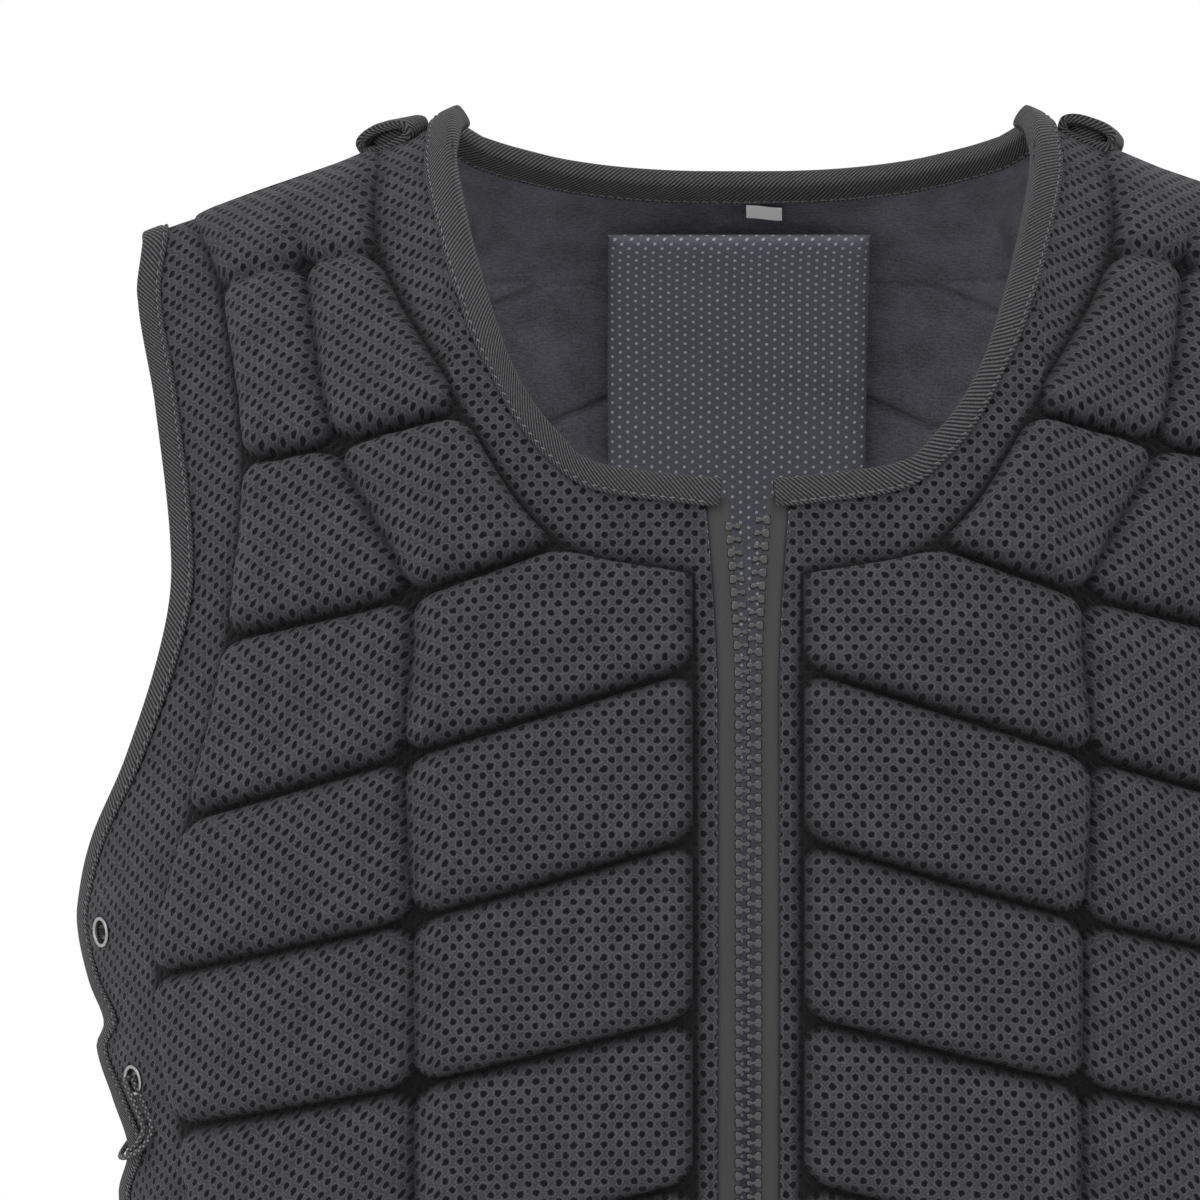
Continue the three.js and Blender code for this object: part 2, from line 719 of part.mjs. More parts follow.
function roundedPlate(width, height, depth, radius) {
  const shape = new THREE.Shape();
  shape.moveTo(-width / 2 + radius, -height / 2);
  shape.lineTo(width / 2 - radius, -height / 2);
  shape.quadraticCurveTo(width / 2, -height / 2, width / 2, -height / 2 + radius);
  shape.lineTo(width / 2, height / 2 - radius);
  shape.quadraticCurveTo(width / 2, height / 2, width / 2 - radius, height / 2);
  shape.lineTo(-width / 2 + radius, height / 2);
  shape.quadraticCurveTo(-width / 2, height / 2, -width / 2, height / 2 - radius);
  shape.lineTo(-width / 2, -height / 2 + radius);
  shape.quadraticCurveTo(-width / 2, -height / 2, -width / 2 + radius, -height / 2);
  const plate = new THREE.ExtrudeGeometry(shape, { depth, bevelEnabled: false, curveSegments: 2 });
  return plate.rotateX(Math.PI / 2);
}

const sliderWidth = 2 * (tapeStart - clearance);
const sliderDrop = teethFoot + clearance + sliderLength / 2;
const sliderPlace = lifted(0, sliderDrop, -1, -zipDepth);
const slider = add('zip_slider', roundedPlate(sliderWidth, sliderLength, sliderThickness, 2), mouldedPlastic);
slider.position.copy(sliderPlace).add(new THREE.Vector3(0, sliderThickness / 2, 0));

const pull = add('zip_pull', roundedPlate(pullWidth, pullLength, pullThickness, 2), nickel);
pull.position.copy(sliderPlace).sub(new THREE.Vector3(0, sliderThickness / 2 + clearance, 0));
pull.position.z += (sliderLength - pullLength) / 2;

const box = add('zip_box', roundedPlate(sliderWidth, boxLength, toothThickness, 1), mouldedPlastic);
box.position.copy(sliderPlace).add(new THREE.Vector3(0, toothThickness / 2, 0));
box.position.z -= (sliderLength + boxLength) / 2 + clearance;

// Eyelets: flat rings on the outside of the side strips
function eyeletRing() {
  const half = eyeletThickness / 2;
  const profile = [
    [eyeletBore, -half],
    [eyeletRadius, -half],
    [eyeletRadius - eyeletBevel, half],
    [eyeletBore, half],
    [eyeletBore, -half],
  ].map(([x, y]) => new THREE.Vector2(x, y));
  return solid(bodyOf(bare(new THREE.LatheGeometry(profile, eyeletSides))));
}

// How high a panel's faces reach along a direction, seen from a point above them
function reachBelow(panel, from, direction) {
  const [hit] = new THREE.Raycaster(from, direction.clone().negate()).intersectObject(panel);
  return hit ? -hit.distance : -Infinity;
}

// How high a panel's faces reach under an eyelet's ring, along the eyelet's axis
function seatHeight(panel, { x, drop, face, normal }) {
  const centre = lifted(x, drop, face, padThickness);
  const side = new THREE.Vector3(0, 0, 1).cross(normal).normalize();
  const up = normal.clone().cross(side);
  const heights = Array.from({ length: 12 }, (_, i) => {
    const angle = (i * Math.PI) / 6;
    const from = centre.clone()
      .addScaledVector(side, eyeletRadius * Math.cos(angle))
      .addScaledVector(up, eyeletRadius * Math.sin(angle));
    return padThickness + reachBelow(panel, from, normal);
  });
  return Math.max(...heights);
}
eyelets.forEach((row, i) => row.forEach((place) => {
  place.seat = seatHeight(i === 0 ? frontLeft : backWhole, place) + clearance;
}));

eyelets.flat().forEach(({ x, drop, face, normal, seat }, k) => {
  const number = (k % eyeletCount) + 1;
  [1, -1].forEach((mirror) => {
    const name = `eyelet_${face < 0 ? 'front' : 'back'}_${mirror > 0 ? 'left' : 'right'}_${number}`;
    const ring = add(name, eyeletRing(), nickel);
    const place = lifted(x, drop, face, seat + eyeletThickness / 2);
    ring.position.set(place.x * mirror, place.y, place.z);
    const out = new THREE.Vector3(normal.x * mirror, normal.y, normal.z);
    ring.quaternion.setFromUnitVectors(new THREE.Vector3(0, 1, 0), out);
  });
});

// Side laces: one doubled cord a side, drawn as one round strand. The first pairs of eyelets are
// left free. It starts in a knot on the outside of its first back eyelet, runs inside to each front
// eyelet and outside down to the next back one, and ends in a knot on the last front eyelet.
const laceRadius = laceWidth / 3;
const laceOut = eyeletThickness + laceRadius + clearance;
const laceIn = -padThickness + liningHollow - rimClearance - bindingWall - laceRadius - 2 * clearance;
const knotRadius = eyeletBore + 2 * clearance;
const knotLift = eyeletThickness + knotRadius + clearance;
const rimHeight = -grooveDepth + laceOut + rimClearance + 3 * bindingWall;
const overFront = table('way inset lift', [[0.24, 0.55, 0], [0.42, 0, 0]]);
const overBack = table('way inset lift', [[0.58, 0, 3], [0.76, 0.55, 1]]);
const lacedPairs = eyeletCount - freePairs;

function laceRoute() {
  const [front, back] = eyelets.map((row) => row.slice(freePairs));
  const at = ({ x, drop, face }, height) => lifted(x, drop, face, height);
  const above = (eyelet, height) => at(eyelet, eyelet.seat + height);
  const overRim = (face, eyelet, { way, inset, lift }) => {
    const drop = eyelet.drop + way * eyeletPitch;
    return lifted(rimX(drop) - inset * eyeletInset / 2, drop, face, rimHeight + lift);
  };
  const route = [above(back[0], knotLift), at(back[0], laceIn)];
  front.forEach((eyelet, k) => {
    const behind = back[k];
    const between = at(eyelet, laceIn).add(at(behind, laceIn)).multiplyScalar(0.5);
    route.push(between, at(eyelet, laceIn), at(eyelet, -padThickness / 2));
    if (k === lacedPairs - 1) return;
    route.push(above(eyelet, laceOut));
    const next = back[k + 1];
    overFront.forEach((step) => route.push(overRim(-1, eyelet, step)));
    overBack.forEach((step) => route.push(overRim(1, eyelet, step)));
    route.push(above(next, laceOut), at(next, -padThickness / 2), at(next, laceIn));
  });
  route.push(above(front.at(-1), knotLift));
  return route;
}

// A round strand through a list of points, its section carried along without a twist
function strand(points, radius, sides) {
  const loops = [];
  let side = new THREE.Vector3(0, 0, 1);
  points.forEach((point, i) => {
    const ahead = points[Math.min(i + 1, points.length - 1)].clone().sub(point).normalize();
    const behind = point.clone().sub(points[Math.max(i - 1, 0)]).normalize();
    const along = ahead.add(behind).normalize();
    side = side.clone().addScaledVector(along, -side.dot(along)).normalize();
    const up = along.clone().cross(side);
    loops.push(Array.from({ length: sides }, (_, j) => {
      const angle = (2 * Math.PI * j) / sides;
      return point.clone()
        .addScaledVector(side, radius * Math.cos(angle))
        .addScaledVector(up, radius * Math.sin(angle));
    }));
  });
  return sweep(loops, pentagonCap);
}

const route = laceRoute();
let lace = toManifold(solid(strand(route, laceRadius, 5)));
[route[0], route.at(-1)].forEach((end) => {
  const knot = new THREE.SphereGeometry(knotRadius, 6, 4).translate(end.x, end.y, end.z);
  lace = lace.add(toManifold(knot));
});
const laceBody = bodyOf(bare(fromManifold(lace)));
addPair('side_lace', laceBody, cordFabric);

// Spine pad: a long slab on the lining, with a rounded edge. Its top stands straight, where the
// lining bends over towards the neck.
const spineRest = padThickness + spineGap;
const sideShare = 1 - spineEdge / spineHalfWidth;
const endShare = spineEdge / spineLength;
const spineColumns = [-1, -sideShare, -0.5, 0, 0.5, sideShare, 1];
const spineRows = [0, endShare, 0.06, 0.14, 0.25, 0.4, 0.55, 0.7, 0.85, 1 - endShare, 1];
const spineGrid = spineRows.map((down) => spineColumns.map((across) => {
  const x = across * spineHalfWidth;
  const drop = spineTopDrop + down * spineLength;
  const thin = Math.abs(across) === 1 || down === 0 || down === 1;
  const depth = thin ? spineThickness - spineEdge : spineThickness;
  const rest = spineRest + spineTopLift * Math.max(1 - down / spineLiftShare, 0);
  const skin = skinAt(turnOf(x, drop), drop, 1);
  const lean = facing(x, Math.max(drop, spineLeanDrop), 1);
  return {
    outer: skin.clone().addScaledVector(lean, -rest),
    inner: skin.clone().addScaledVector(lean, -rest - depth),
  };
}));
add('spine_pad', solid(shell(spineGrid)), lining);

// Size label: a small tag under the back neck's binding
const [neckNode, stripNode] = backGrid[backNeckLines - 1];
const hang = stripNode.inner.clone().sub(neckNode.inner).setX(0).normalize();
const away = new THREE.Vector3(0, hang.z, -hang.y);
const labelGrid = [0, 1].map((down) => [-0.5, 0.5].map((across) => {
  const drop = bindingWidth + neckClearance + (down + across * labelTilt) * labelHeight;
  const corner = neckNode.inner.clone().addScaledVector(hang, drop).addScaledVector(away, neckClearance);
  corner.x = labelOffset + across * labelWidth;
  return { outer: corner, inner: corner.clone().addScaledVector(away, labelThickness) };
}));
add('size_label', solid(shell(labelGrid)), labelFabric);

// Shoulder loops: a low arch of webbing across the top of each shoulder, beside the neck
function arch() {
  const half = loopWidth / 2;
  const bore = half - loopBend;
  const outline = new THREE.Shape();
  outline.moveTo(-half, 0);
  outline.lineTo(half, 0);
  outline.quadraticCurveTo(half, loopHeight, 0, loopHeight);
  outline.quadraticCurveTo(-half, loopHeight, -half, 0);
  const hollow = new THREE.Path();
  hollow.moveTo(-bore, loopWall);
  hollow.quadraticCurveTo(-bore, loopHeight - loopWall, 0, loopHeight - loopWall);
  hollow.quadraticCurveTo(bore, loopHeight - loopWall, bore, loopWall);
  hollow.lineTo(-bore, loopWall);
  outline.holes.push(hollow);
  const options = { depth: loopLength, bevelEnabled: false, curveSegments: 4 };
  const body = new THREE.ExtrudeGeometry(outline, options);
  return body.translate(0, 0, -loopLength / 2).rotateX(Math.PI / 2);
}

const loopX = neckHalfWidth + loopOffset;
const loopSlope = Math.atan(shoulderFall(loopX));
const loopAcross = new THREE.Vector3(Math.cos(loopSlope), 0, -Math.sin(loopSlope));
const loopUp = new THREE.Vector3(Math.sin(loopSlope), 0, Math.cos(loopSlope));

// The loop rests on the highest place of the two panels under its foot.
function loopSeat() {
  const centre = new THREE.Vector3(loopX, 0, topHeight - shoulderDrop(loopX));
  const above = centre.clone().addScaledVector(loopUp, padThickness);
  const shares = Array.from({ length: 9 }, (_, i) => i / 8 - 0.5);
  const heights = shares.flatMap((across) => shares.flatMap((along) => {
    const from = above.clone().addScaledVector(loopAcross, across * loopWidth);
    from.y += along * loopLength;
    return [frontLeft, backWhole].map((panel) => padThickness + reachBelow(panel, from, loopUp));
  }));
  return centre.addScaledVector(loopUp, Math.max(...heights) + loopRest);
}

const loopPlace = loopSeat();
[['left', 1], ['right', -1]].forEach(([name, side]) => {
  const loop = add(`shoulder_loop_${name}`, arch(), twill);
  loop.position.set(side * loopPlace.x, 0, loopPlace.z);
  loop.rotation.y = side * loopSlope;
});

export default vest;
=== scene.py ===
# %% [markdown]
# # A padded vest for riding
# A rider wears this vest against falls. Foam blocks lie between a knitted mesh outside and a
# smooth lining inside, and the grooves between the blocks let it bend round the body.
# Each piece below is a surface worked out with numpy: a function of two parameters, or a
# profile carried along a path. Lengths are millimetres until a piece is put into the scene.

import bpy
import numpy as np
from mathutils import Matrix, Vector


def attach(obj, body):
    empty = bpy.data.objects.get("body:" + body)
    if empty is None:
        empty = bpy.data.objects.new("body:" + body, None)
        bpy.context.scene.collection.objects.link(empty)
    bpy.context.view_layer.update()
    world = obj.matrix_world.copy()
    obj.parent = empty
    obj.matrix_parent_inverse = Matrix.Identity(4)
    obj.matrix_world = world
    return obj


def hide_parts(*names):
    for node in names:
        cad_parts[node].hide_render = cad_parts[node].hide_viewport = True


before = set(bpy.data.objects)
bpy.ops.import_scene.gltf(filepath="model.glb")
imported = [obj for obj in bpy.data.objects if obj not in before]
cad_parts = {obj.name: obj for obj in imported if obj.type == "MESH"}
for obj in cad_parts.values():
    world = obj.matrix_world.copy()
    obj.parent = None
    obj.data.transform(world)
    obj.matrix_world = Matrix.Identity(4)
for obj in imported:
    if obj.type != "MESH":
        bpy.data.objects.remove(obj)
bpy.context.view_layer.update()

# %% [markdown]
# ## Studio
# A shop picture of dark cloth is taken in a white room with large soft lamps, so that black
# mesh still shows its holes. A picture of a room on the world could light it too. A plain white
# world and three square lamps do the same with numbers that are easy to change.

# %% Studio
scene = bpy.context.scene
scene.view_settings.view_transform = "Standard"
scene.world = bpy.data.worlds.new("white_room")
scene.world.use_nodes = True
room = scene.world.node_tree.nodes["Background"]
room.inputs["Color"].default_value = (1.0, 1.0, 1.0, 1.0)
room.inputs["Strength"].default_value = 1.0


def aim(thing, place, target):
    """Puts a lamp or camera at place, looking at target."""
    thing.location = place
    direction = Vector(target) - Vector(place)
    thing.rotation_euler = direction.to_track_quat("-Z", "Y").to_euler()


def lamp(name, place, width, watts):
    """A square soft lamp that faces the chest."""
    light = bpy.data.lights.new(name, "AREA")
    light.size = width
    light.energy = watts
    thing = bpy.data.objects.new(name, light)
    scene.collection.objects.link(thing)
    aim(thing, place, (0.0, 0.0, -0.25))


lamp("lamp_above", (-0.5, -1.3, 1.6), 1.2, 7.0)
lamp("lamp_left", (-2.0, -1.4, 0.1), 1.0, 5.0)
lamp("lamp_behind", (1.2, 2.2, 1.2), 1.5, 12.0)

floor_half, floor_level = 2.0, -0.62
corners = [(x * floor_half, y * floor_half, floor_level) for x, y in ((-1, -1), (1, -1), (1, 1), (-1, 1))]
floor_mesh = bpy.data.meshes.new("floor")
floor_mesh.from_pydata(corners, [], [(0, 1, 2, 3)])
floor = bpy.data.objects.new("floor", floor_mesh)
scene.collection.objects.link(floor)
print(len(bpy.data.lights), "lamps over a floor at", floor_level)

# %% [markdown]
# The camera sees a field 42 cm wide from 2.6 m away. From so far the lines of the vest hardly
# converge, as in the picture. A short lens close by would show the same width, but it would
# swell the chest and shrink the shoulders.

# %% Camera
view_width, view_distance = 0.420, 2.6
picture_x, picture_z, chest_front = -0.0508, -0.1537, -0.06
lens = bpy.data.cameras.new("camera")
lens.sensor_width = 36.0
lens.lens = lens.sensor_width * view_distance / view_width
lens.clip_end = 20.0
camera = bpy.data.objects.new("camera", lens)
scene.collection.objects.link(camera)
aim(camera, (picture_x, chest_front - view_distance, picture_z), (picture_x, 0.0, picture_z))
scene.camera = camera
print("lens", round(lens.lens), "mm")

# %% [markdown]
# ## The body's shape
# A vest holds the shape of the body it was cut for. It could be modelled by pushing the corners
# of a cylinder about, but then each panel, tape and zip would have to be fitted by hand. Here all
# cloth follows one skin, the outside of the padding, and these tables give its width and depth
# down the length as shares of the named sizes.

# %% Sizes and the tables of the skin
vest_length, chest_half_width = 575.0, 244.0
front_depth, back_depth = 130.0, 130.0
section_power = 2.4
shoulder_level, shoulder_slope = -0.5, 0.34
neck_stand, neck_stand_reach, neck_half_width = 9.0, 18.0, 105.0
front_neck_drop, back_neck_drop = 126.0, 6.5
pad_thickness, edge_thickness, lining_hollow = 15.0, 4.0, 2.5
groove_depth = pad_thickness - lining_hollow - edge_thickness
shoulder_padding, neck_sink, arm_sink = 9.0, 0.5, 0.2
zip_edge, zip_spread, zip_spread_drop, zip_spread_power = 11.0, 4.5, 200.0, 1.6


def table(columns, *rows):
    """Names the columns of a table of numbers."""
    return dict(zip(columns.split(), np.array(rows, dtype=float).T))


widths = table(
    "drop width",
    (0.00, 0.990), (0.17, 1.000), (0.35, 1.000), (0.48, 1.012), (0.55, 0.990),
    (0.63, 0.962), (0.75, 0.938), (0.87, 0.950), (1.00, 0.970),
)
depths = table(
    "fall front back",
    (0.0000, 0.000, 0.000), (0.0175, 0.230, 0.270), (0.0435, 0.370, 0.500),
    (0.0870, 0.530, 0.700), (0.1740, 0.750, 0.900), (0.2600, 0.870, 0.990),
    (0.4000, 0.975, 1.000), (0.5200, 1.000, 0.950), (0.7000, 0.955, 0.850),
    (0.8000, 0.930, 0.840), (1.0000, 0.990, 0.930),
)
rim_line = table(
    "drop width",
    (0.068, 0.876), (0.100, 0.892), (0.170, 0.864), (0.270, 0.837), (0.320, 0.854),
    (0.390, 0.912), (0.440, 0.969), (0.480, 0.993), (0.500, 0.993), (0.530, 0.974),
    (0.553, 0.949), (0.570, 0.965), (0.600, 0.938), (0.630, 0.912), (0.660, 0.932),
    (0.750, 0.904), (0.870, 0.921), (1.000, 0.944),
)
front_neck = table(
    "station width drop",
    (0, 1.000, 0.000), (1, 0.985, 0.155), (2, 0.913, 0.372), (3, 0.816, 0.589),
    (4, 0.704, 0.760), (5, 0.563, 0.884), (6, 0.408, 0.961), (7, 0.000, 1.000),
)
back_neck = table(
    "station width drop",
    (0, 1.000, 0.000), (1, 0.950, 0.150), (2, 0.860, 0.370), (3, 0.760, 0.560),
    (4, 0.600, 0.770), (5, 0.400, 0.920), (6, 0.200, 0.990), (7, 0.000, 1.000),
)

print("groove", groove_depth, "mm deep;", len(rim_line["drop"]), "places down the rim")

# %% [markdown]
# A tailor draws a smooth line through a few measured points. Straight lines between the rows of
# a table would leave kinks in the cloth, and one high polynomial would swing about. A cubic
# between each pair of rows, with its slopes taken from the rows on both sides, does neither.

# %% Lines drawn through the tables


def follow(key, value, at):
    """A smooth curve through rows of a table: cubics whose slope at a row is its neighbours' chord."""
    key, value, at = (np.asarray(a, dtype=float) for a in (key, value, at))
    count = len(key)
    before = np.maximum(np.arange(count) - 1, 0)
    after = np.minimum(np.arange(count) + 1, count - 1)
    slope = (value[after] - value[before]) / (key[after] - key[before])
    k = np.clip(np.searchsorted(key, at, side="right") - 1, 0, count - 2)
    run = key[k + 1] - key[k]
    t = np.clip((at - key[k]) / run, 0, 1)
    blend = t * t * (3 - 2 * t)
    ease = t * (1 - t) * run
    return value[k] * (1 - blend) + value[k + 1] * blend + ease * ((1 - t) * slope[k] - t * slope[k + 1])


def body_width(drop):
    """Half the body's width at a drop from the top."""
    return chest_half_width * follow(widths["drop"], widths["width"], drop / vest_length)


def rim_x(drop):
    """How far out the panels' outer edge is at a drop."""
    return chest_half_width * follow(rim_line["drop"], rim_line["width"], drop / vest_length)


def shoulder_drop(x):
    """The shoulder line: an even fall from the neck, where it stands up by an exponential."""
    out = np.maximum(np.abs(x) - neck_half_width, 0)
    return shoulder_level + shoulder_slope * out - neck_stand * np.exp(-out / neck_stand_reach)


print("half widths at the chest and the hem", np.round(body_width(np.array([200.0, vest_length])), 1))

# %% [markdown]
# Seen from above, the trunk is rounder than a box and squarer than an ellipse. A superellipse is
# just that: one power sets how square it is. Near the shoulder the depth has to grow fast and
# then slowly, so it follows the root of the fall. The direction square to the skin comes from
# two small steps, round and down, and everything sewn on is placed along it.

# %% The skin


def skin(turn, drop, face):
    """The padding's outside: x = width sin(turn), y = depth (1 - |sin turn|^p)^(1/p), z = top - drop.
    The depth grows with the root of the fall below the shoulder line. face is -1 in front."""
    across = np.sin(turn)
    x = body_width(drop) * across
    bulge = (1 - np.abs(across) ** section_power) ** (1 / section_power)
    root = np.sqrt(np.maximum(drop - shoulder_drop(x), 0) / vest_length)
    side, reach = ("front", front_depth) if face < 0 else ("back", back_depth)
    depth = reach * follow(np.sqrt(depths["fall"]), depths[side], root) * bulge
    return np.stack([x, face * depth, pad_thickness - drop + 0 * x], axis=-1)


def unit(v):
    """Vectors of length one."""
    return v / np.linalg.norm(v, axis=-1, keepdims=True)


def skin_frame(x, drop, face):
    """Points of the skin and the directions square to it, from central differences."""
    turn = np.arcsin(np.clip(x / body_width(drop), -1, 1))
    around = skin(turn + 0.002, drop, face) - skin(turn - 0.002, drop, face)
    down = skin(turn, drop + 0.4, face) - skin(turn, drop - 0.4, face)
    normal = unit(np.cross(around, down)) * face
    out = np.maximum(np.abs(x) - neck_half_width, 0)
    fall = shoulder_slope + neck_stand / neck_stand_reach * np.exp(-out / neck_stand_reach)
    top = unit(np.stack([np.sign(x) * fall, 0 * x, 1 + 0 * x], axis=-1))
    on_top = (drop - shoulder_drop(x) < 0.3)[..., None]
    return skin(turn, drop, face), np.where(on_top, top, normal)


def lifted(x, drop, face, height):
    """Places a height above the skin, or below it where the height is negative."""
    x, drop, height = np.broadcast_arrays(*(np.asarray(a, dtype=float) for a in (x, drop, height)))
    point, normal = skin_frame(x, drop, face)
    return point + normal * height[..., None]


def zip_x(drop):
    """Half the gap between the front panels, which opens towards the neck."""
    share = np.maximum(zip_spread_drop - drop, 0) / (zip_spread_drop - front_neck_drop)
    return zip_edge + zip_spread * share**zip_spread_power


print("skin depth at the chest", np.round(lifted(0.0, 300.0, -1, 0.0), 1))

# %% [markdown]
# ## Putting pieces in the scene
# Cloth has two sides, so every piece here is a closed body: two grids of corners a little way
# apart, or rings of corners along a path. Solidify could thicken a single grid, but the pads
# are thick on a block and thin at an edge, so both sides are worked out.

# %% Bodies from grids and rings
mm_in_metre = 1000.0


def lattice(index):
    """Four-cornered faces of a grid of corner numbers."""
    return np.stack([index[:-1, :-1], index[1:, :-1], index[1:, 1:], index[:-1, 1:]], axis=-1).reshape(-1, 4)


def strip(path, shift):
    """Faces between a path of corners and the same path shift corners later."""
    return np.stack([path[:-1], path[1:], path[1:] + shift, path[:-1] + shift], axis=-1)


def slab(outer, inner, uv, open_from=None):
    """A closed body between two grids. With open_from the first column is left open from that row."""
    rows, columns = outer.shape[:2]
    count = rows * columns
    index = np.arange(count).reshape(rows, columns)
    round_edge = [index[0, 1:], index[1:, -1], index[-1, -2::-1]]
    start = index[open_from::-1, 0] if open_from is not None else index[::-1, 0]
    path = np.concatenate([start] + round_edge)
    faces = np.concatenate([lattice(index), lattice(index)[:, ::-1] + count, strip(path, count)])
    points = np.concatenate([outer.reshape(-1, 3), inner.reshape(-1, 3)])
    return points, faces, np.tile(uv.reshape(count, -1), (2, 1))


def tube(rings, uv):
    """A closed body through rings of corners, with a fan of faces over each end."""
    rows, sides = rings.shape[:2]
    index = np.arange(rows * sides).reshape(rows, sides)
    middle = rings[[0, -1]].mean(axis=1)
    skins = lattice(np.hstack([index, index[:, :1]]))
    step = np.roll(np.arange(sides), -1)
    first = np.stack([index[0], index[0][step], np.full(sides, rows * sides)], axis=-1)
    last = np.stack([index[-1][step], index[-1], np.full(sides, rows * sides + 1)], axis=-1)
    ends = np.concatenate([first, last])
    points = np.concatenate([rings.reshape(-1, 3), middle])
    return points, (skins, ends), np.concatenate([uv.reshape(-1, 2), uv[[0, -1]].mean(axis=1)])


def ring_faces(rows, sides):
    """Faces of rings that are joined round and end to end, as on a closed loop."""
    index = np.arange(rows * sides).reshape(rows, sides)
    index = np.vstack([index, index[:1]])
    return lattice(np.hstack([index, index[:, :1]]))


print("a closed loop of 4 rings with 6 corners has", len(ring_faces(4, 6)), "faces")

# %% [markdown]
# A maker cuts the left side once and turns the pattern over for the right. The Mirror and Array
# modifiers do this too, but here a body is plain numbers: turning it over changes the sign of x
# and the order of each face's corners, so that the faces still look outwards.

# %% Turned over, joined and repeated


def mirrored(body):
    """The same body on the other side of the vest."""
    points, faces, uv = body
    if isinstance(faces, tuple):
        return points * (-1, 1, 1), tuple(f[:, ::-1] for f in faces), uv
    return points * (-1, 1, 1), faces[:, ::-1], uv


def together(*bodies):
    """Several bodies as one, each kept closed."""
    points, groups, maps, start = [], {}, [], 0
    for corners, faces, uv in bodies:
        for group in faces if isinstance(faces, tuple) else (faces,):
            groups.setdefault(group.shape[1], []).append(group + start)
        start += len(corners)
        points.append(corners)
        maps.append(uv)
    return np.concatenate(points), tuple(np.concatenate(g) for g in groups.values()), np.concatenate(maps)


def copies(template, places, frames):
    """A small body put at many places. frames holds the three directions of each copy."""
    points, faces, uv = template
    moved = np.einsum("vk,nkj->nvj", points, frames) + places[:, None]
    shift = (np.arange(len(places)) * len(points))[:, None, None]
    groups = faces if isinstance(faces, tuple) else (faces,)
    repeated = tuple((g[None] + shift).reshape(-1, g.shape[1]) for g in groups)
    return moved.reshape(-1, 3), repeated, np.tile(uv, (len(places), 1))


triangle = np.array([[0.0, 0.0], [1.0, 0.0], [0.0, 1.0]])
wedge = tube(np.stack([np.insert(triangle, 2, z, axis=1) for z in (0.0, 1.0)]), np.zeros((2, 3, 2)))
print("a wedge and its mirror image have", len(together(wedge, mirrored(wedge))[0]), "corners")

# %% [markdown]
# A piece goes into the scene with its map in millimetres, so that a weave has the same scale on every piece.
# It rides on the vest's one body, and the solids it stands for are hidden. The sign of its volume tells
# whether its faces look outwards, and a wrong one is turned round.

# %% Into the scene


def put(name, body, material, nodes=(), crease=0.7):
    """Makes the object from corners in millimetres. Its faces are turned outwards, and edges
    sharper than crease stay hard."""
    points, faces, uv = body
    groups = faces if isinstance(faces, tuple) else (faces,)
    volume = sum(
        np.einsum("ij,ij->", np.cross(points[g[:, 0]], points[g[:, k]]), points[g[:, k + 1]])
        for g in groups for k in range(1, g.shape[1] - 1)
    )
    groups = [g[:, ::-1] if volume < 0 else g for g in groups]
    mesh = bpy.data.meshes.new(name)
    mesh.from_pydata((points / mm_in_metre).tolist(), [], [face for g in groups for face in g.tolist()])
    corner = np.concatenate([g.ravel() for g in groups])
    mesh.uv_layers.new(name="map").uv.foreach_set("vector", uv[corner, :2].ravel())
    # A third column carries the painted groove shade of the padded panels into a second map.
    if uv.shape[1] > 2:
        painted_shade_map = np.stack([uv[corner, 2], 0 * uv[corner, 2]], axis=-1)
        mesh.uv_layers.new(name="painted_groove_shade").uv.foreach_set("vector", painted_shade_map.ravel())
    mesh.polygons.foreach_set("use_smooth", np.ones(len(mesh.polygons), dtype=bool))
    mesh.set_sharp_from_angle(angle=crease)
    mesh.materials.append(material)
    thing = bpy.data.objects.new(name, mesh)
    scene.collection.objects.link(thing)
    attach(thing, "root")
    if nodes:
        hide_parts(*nodes)
    print(name, sum(len(g) * (g.shape[1] - 2) for g in groups), "triangles")
    return thing


print("edges sharper than", round(np.degrees(0.7)), "degrees stay hard, unless a piece says otherwise")

# %% [markdown]
# Hand-sewn foam is never even. Noise from a texture could shift the corners, but it would need a
# modifier on each piece. A few sine waves in seeded directions give the same soft unevenness,
# and the same seed gives the same vest each time. Lengths along a path place the stitches and
# the teeth.

# %% Unevenness and lengths


def waves(points, size, seed):
    """A soft unevenness of about one either way: eight sine waves in seeded directions."""
    dice = np.random.default_rng(seed)
    ways = unit(dice.normal(size=(8, 3))) * 2 * np.pi / (size * dice.uniform(0.7, 1.6, (8, 1)))
    return np.sin(points @ ways.T + dice.uniform(0, 2 * np.pi, 8)).sum(axis=-1) / 2.8


def length_along(points, axis):
    """The distance travelled from the first point of each row or column."""
    step = np.linalg.norm(np.diff(points, axis=axis), axis=-1)
    return np.insert(np.cumsum(step, axis=axis), 0, 0, axis=axis)


def signed_power(v, power):
    """The power of a number's size, with the number's own sign, which squares up a circle."""
    return np.sign(v) * np.abs(v) ** power


print("a wave of 20 mm at the origin is", np.round(waves(np.zeros(3), 20, 1), 2))

# %% [markdown]
# ## Shader arithmetic
# A weave is a formula over the cloth's map. It could be wired by hand in the shader editor, but
# a net of twenty nodes is hard to read. A small class stands for one output of a node instead.
# Writing a + b on two of them adds the node that sums them, so a pattern reads like its formula.

# %% One socket of a material


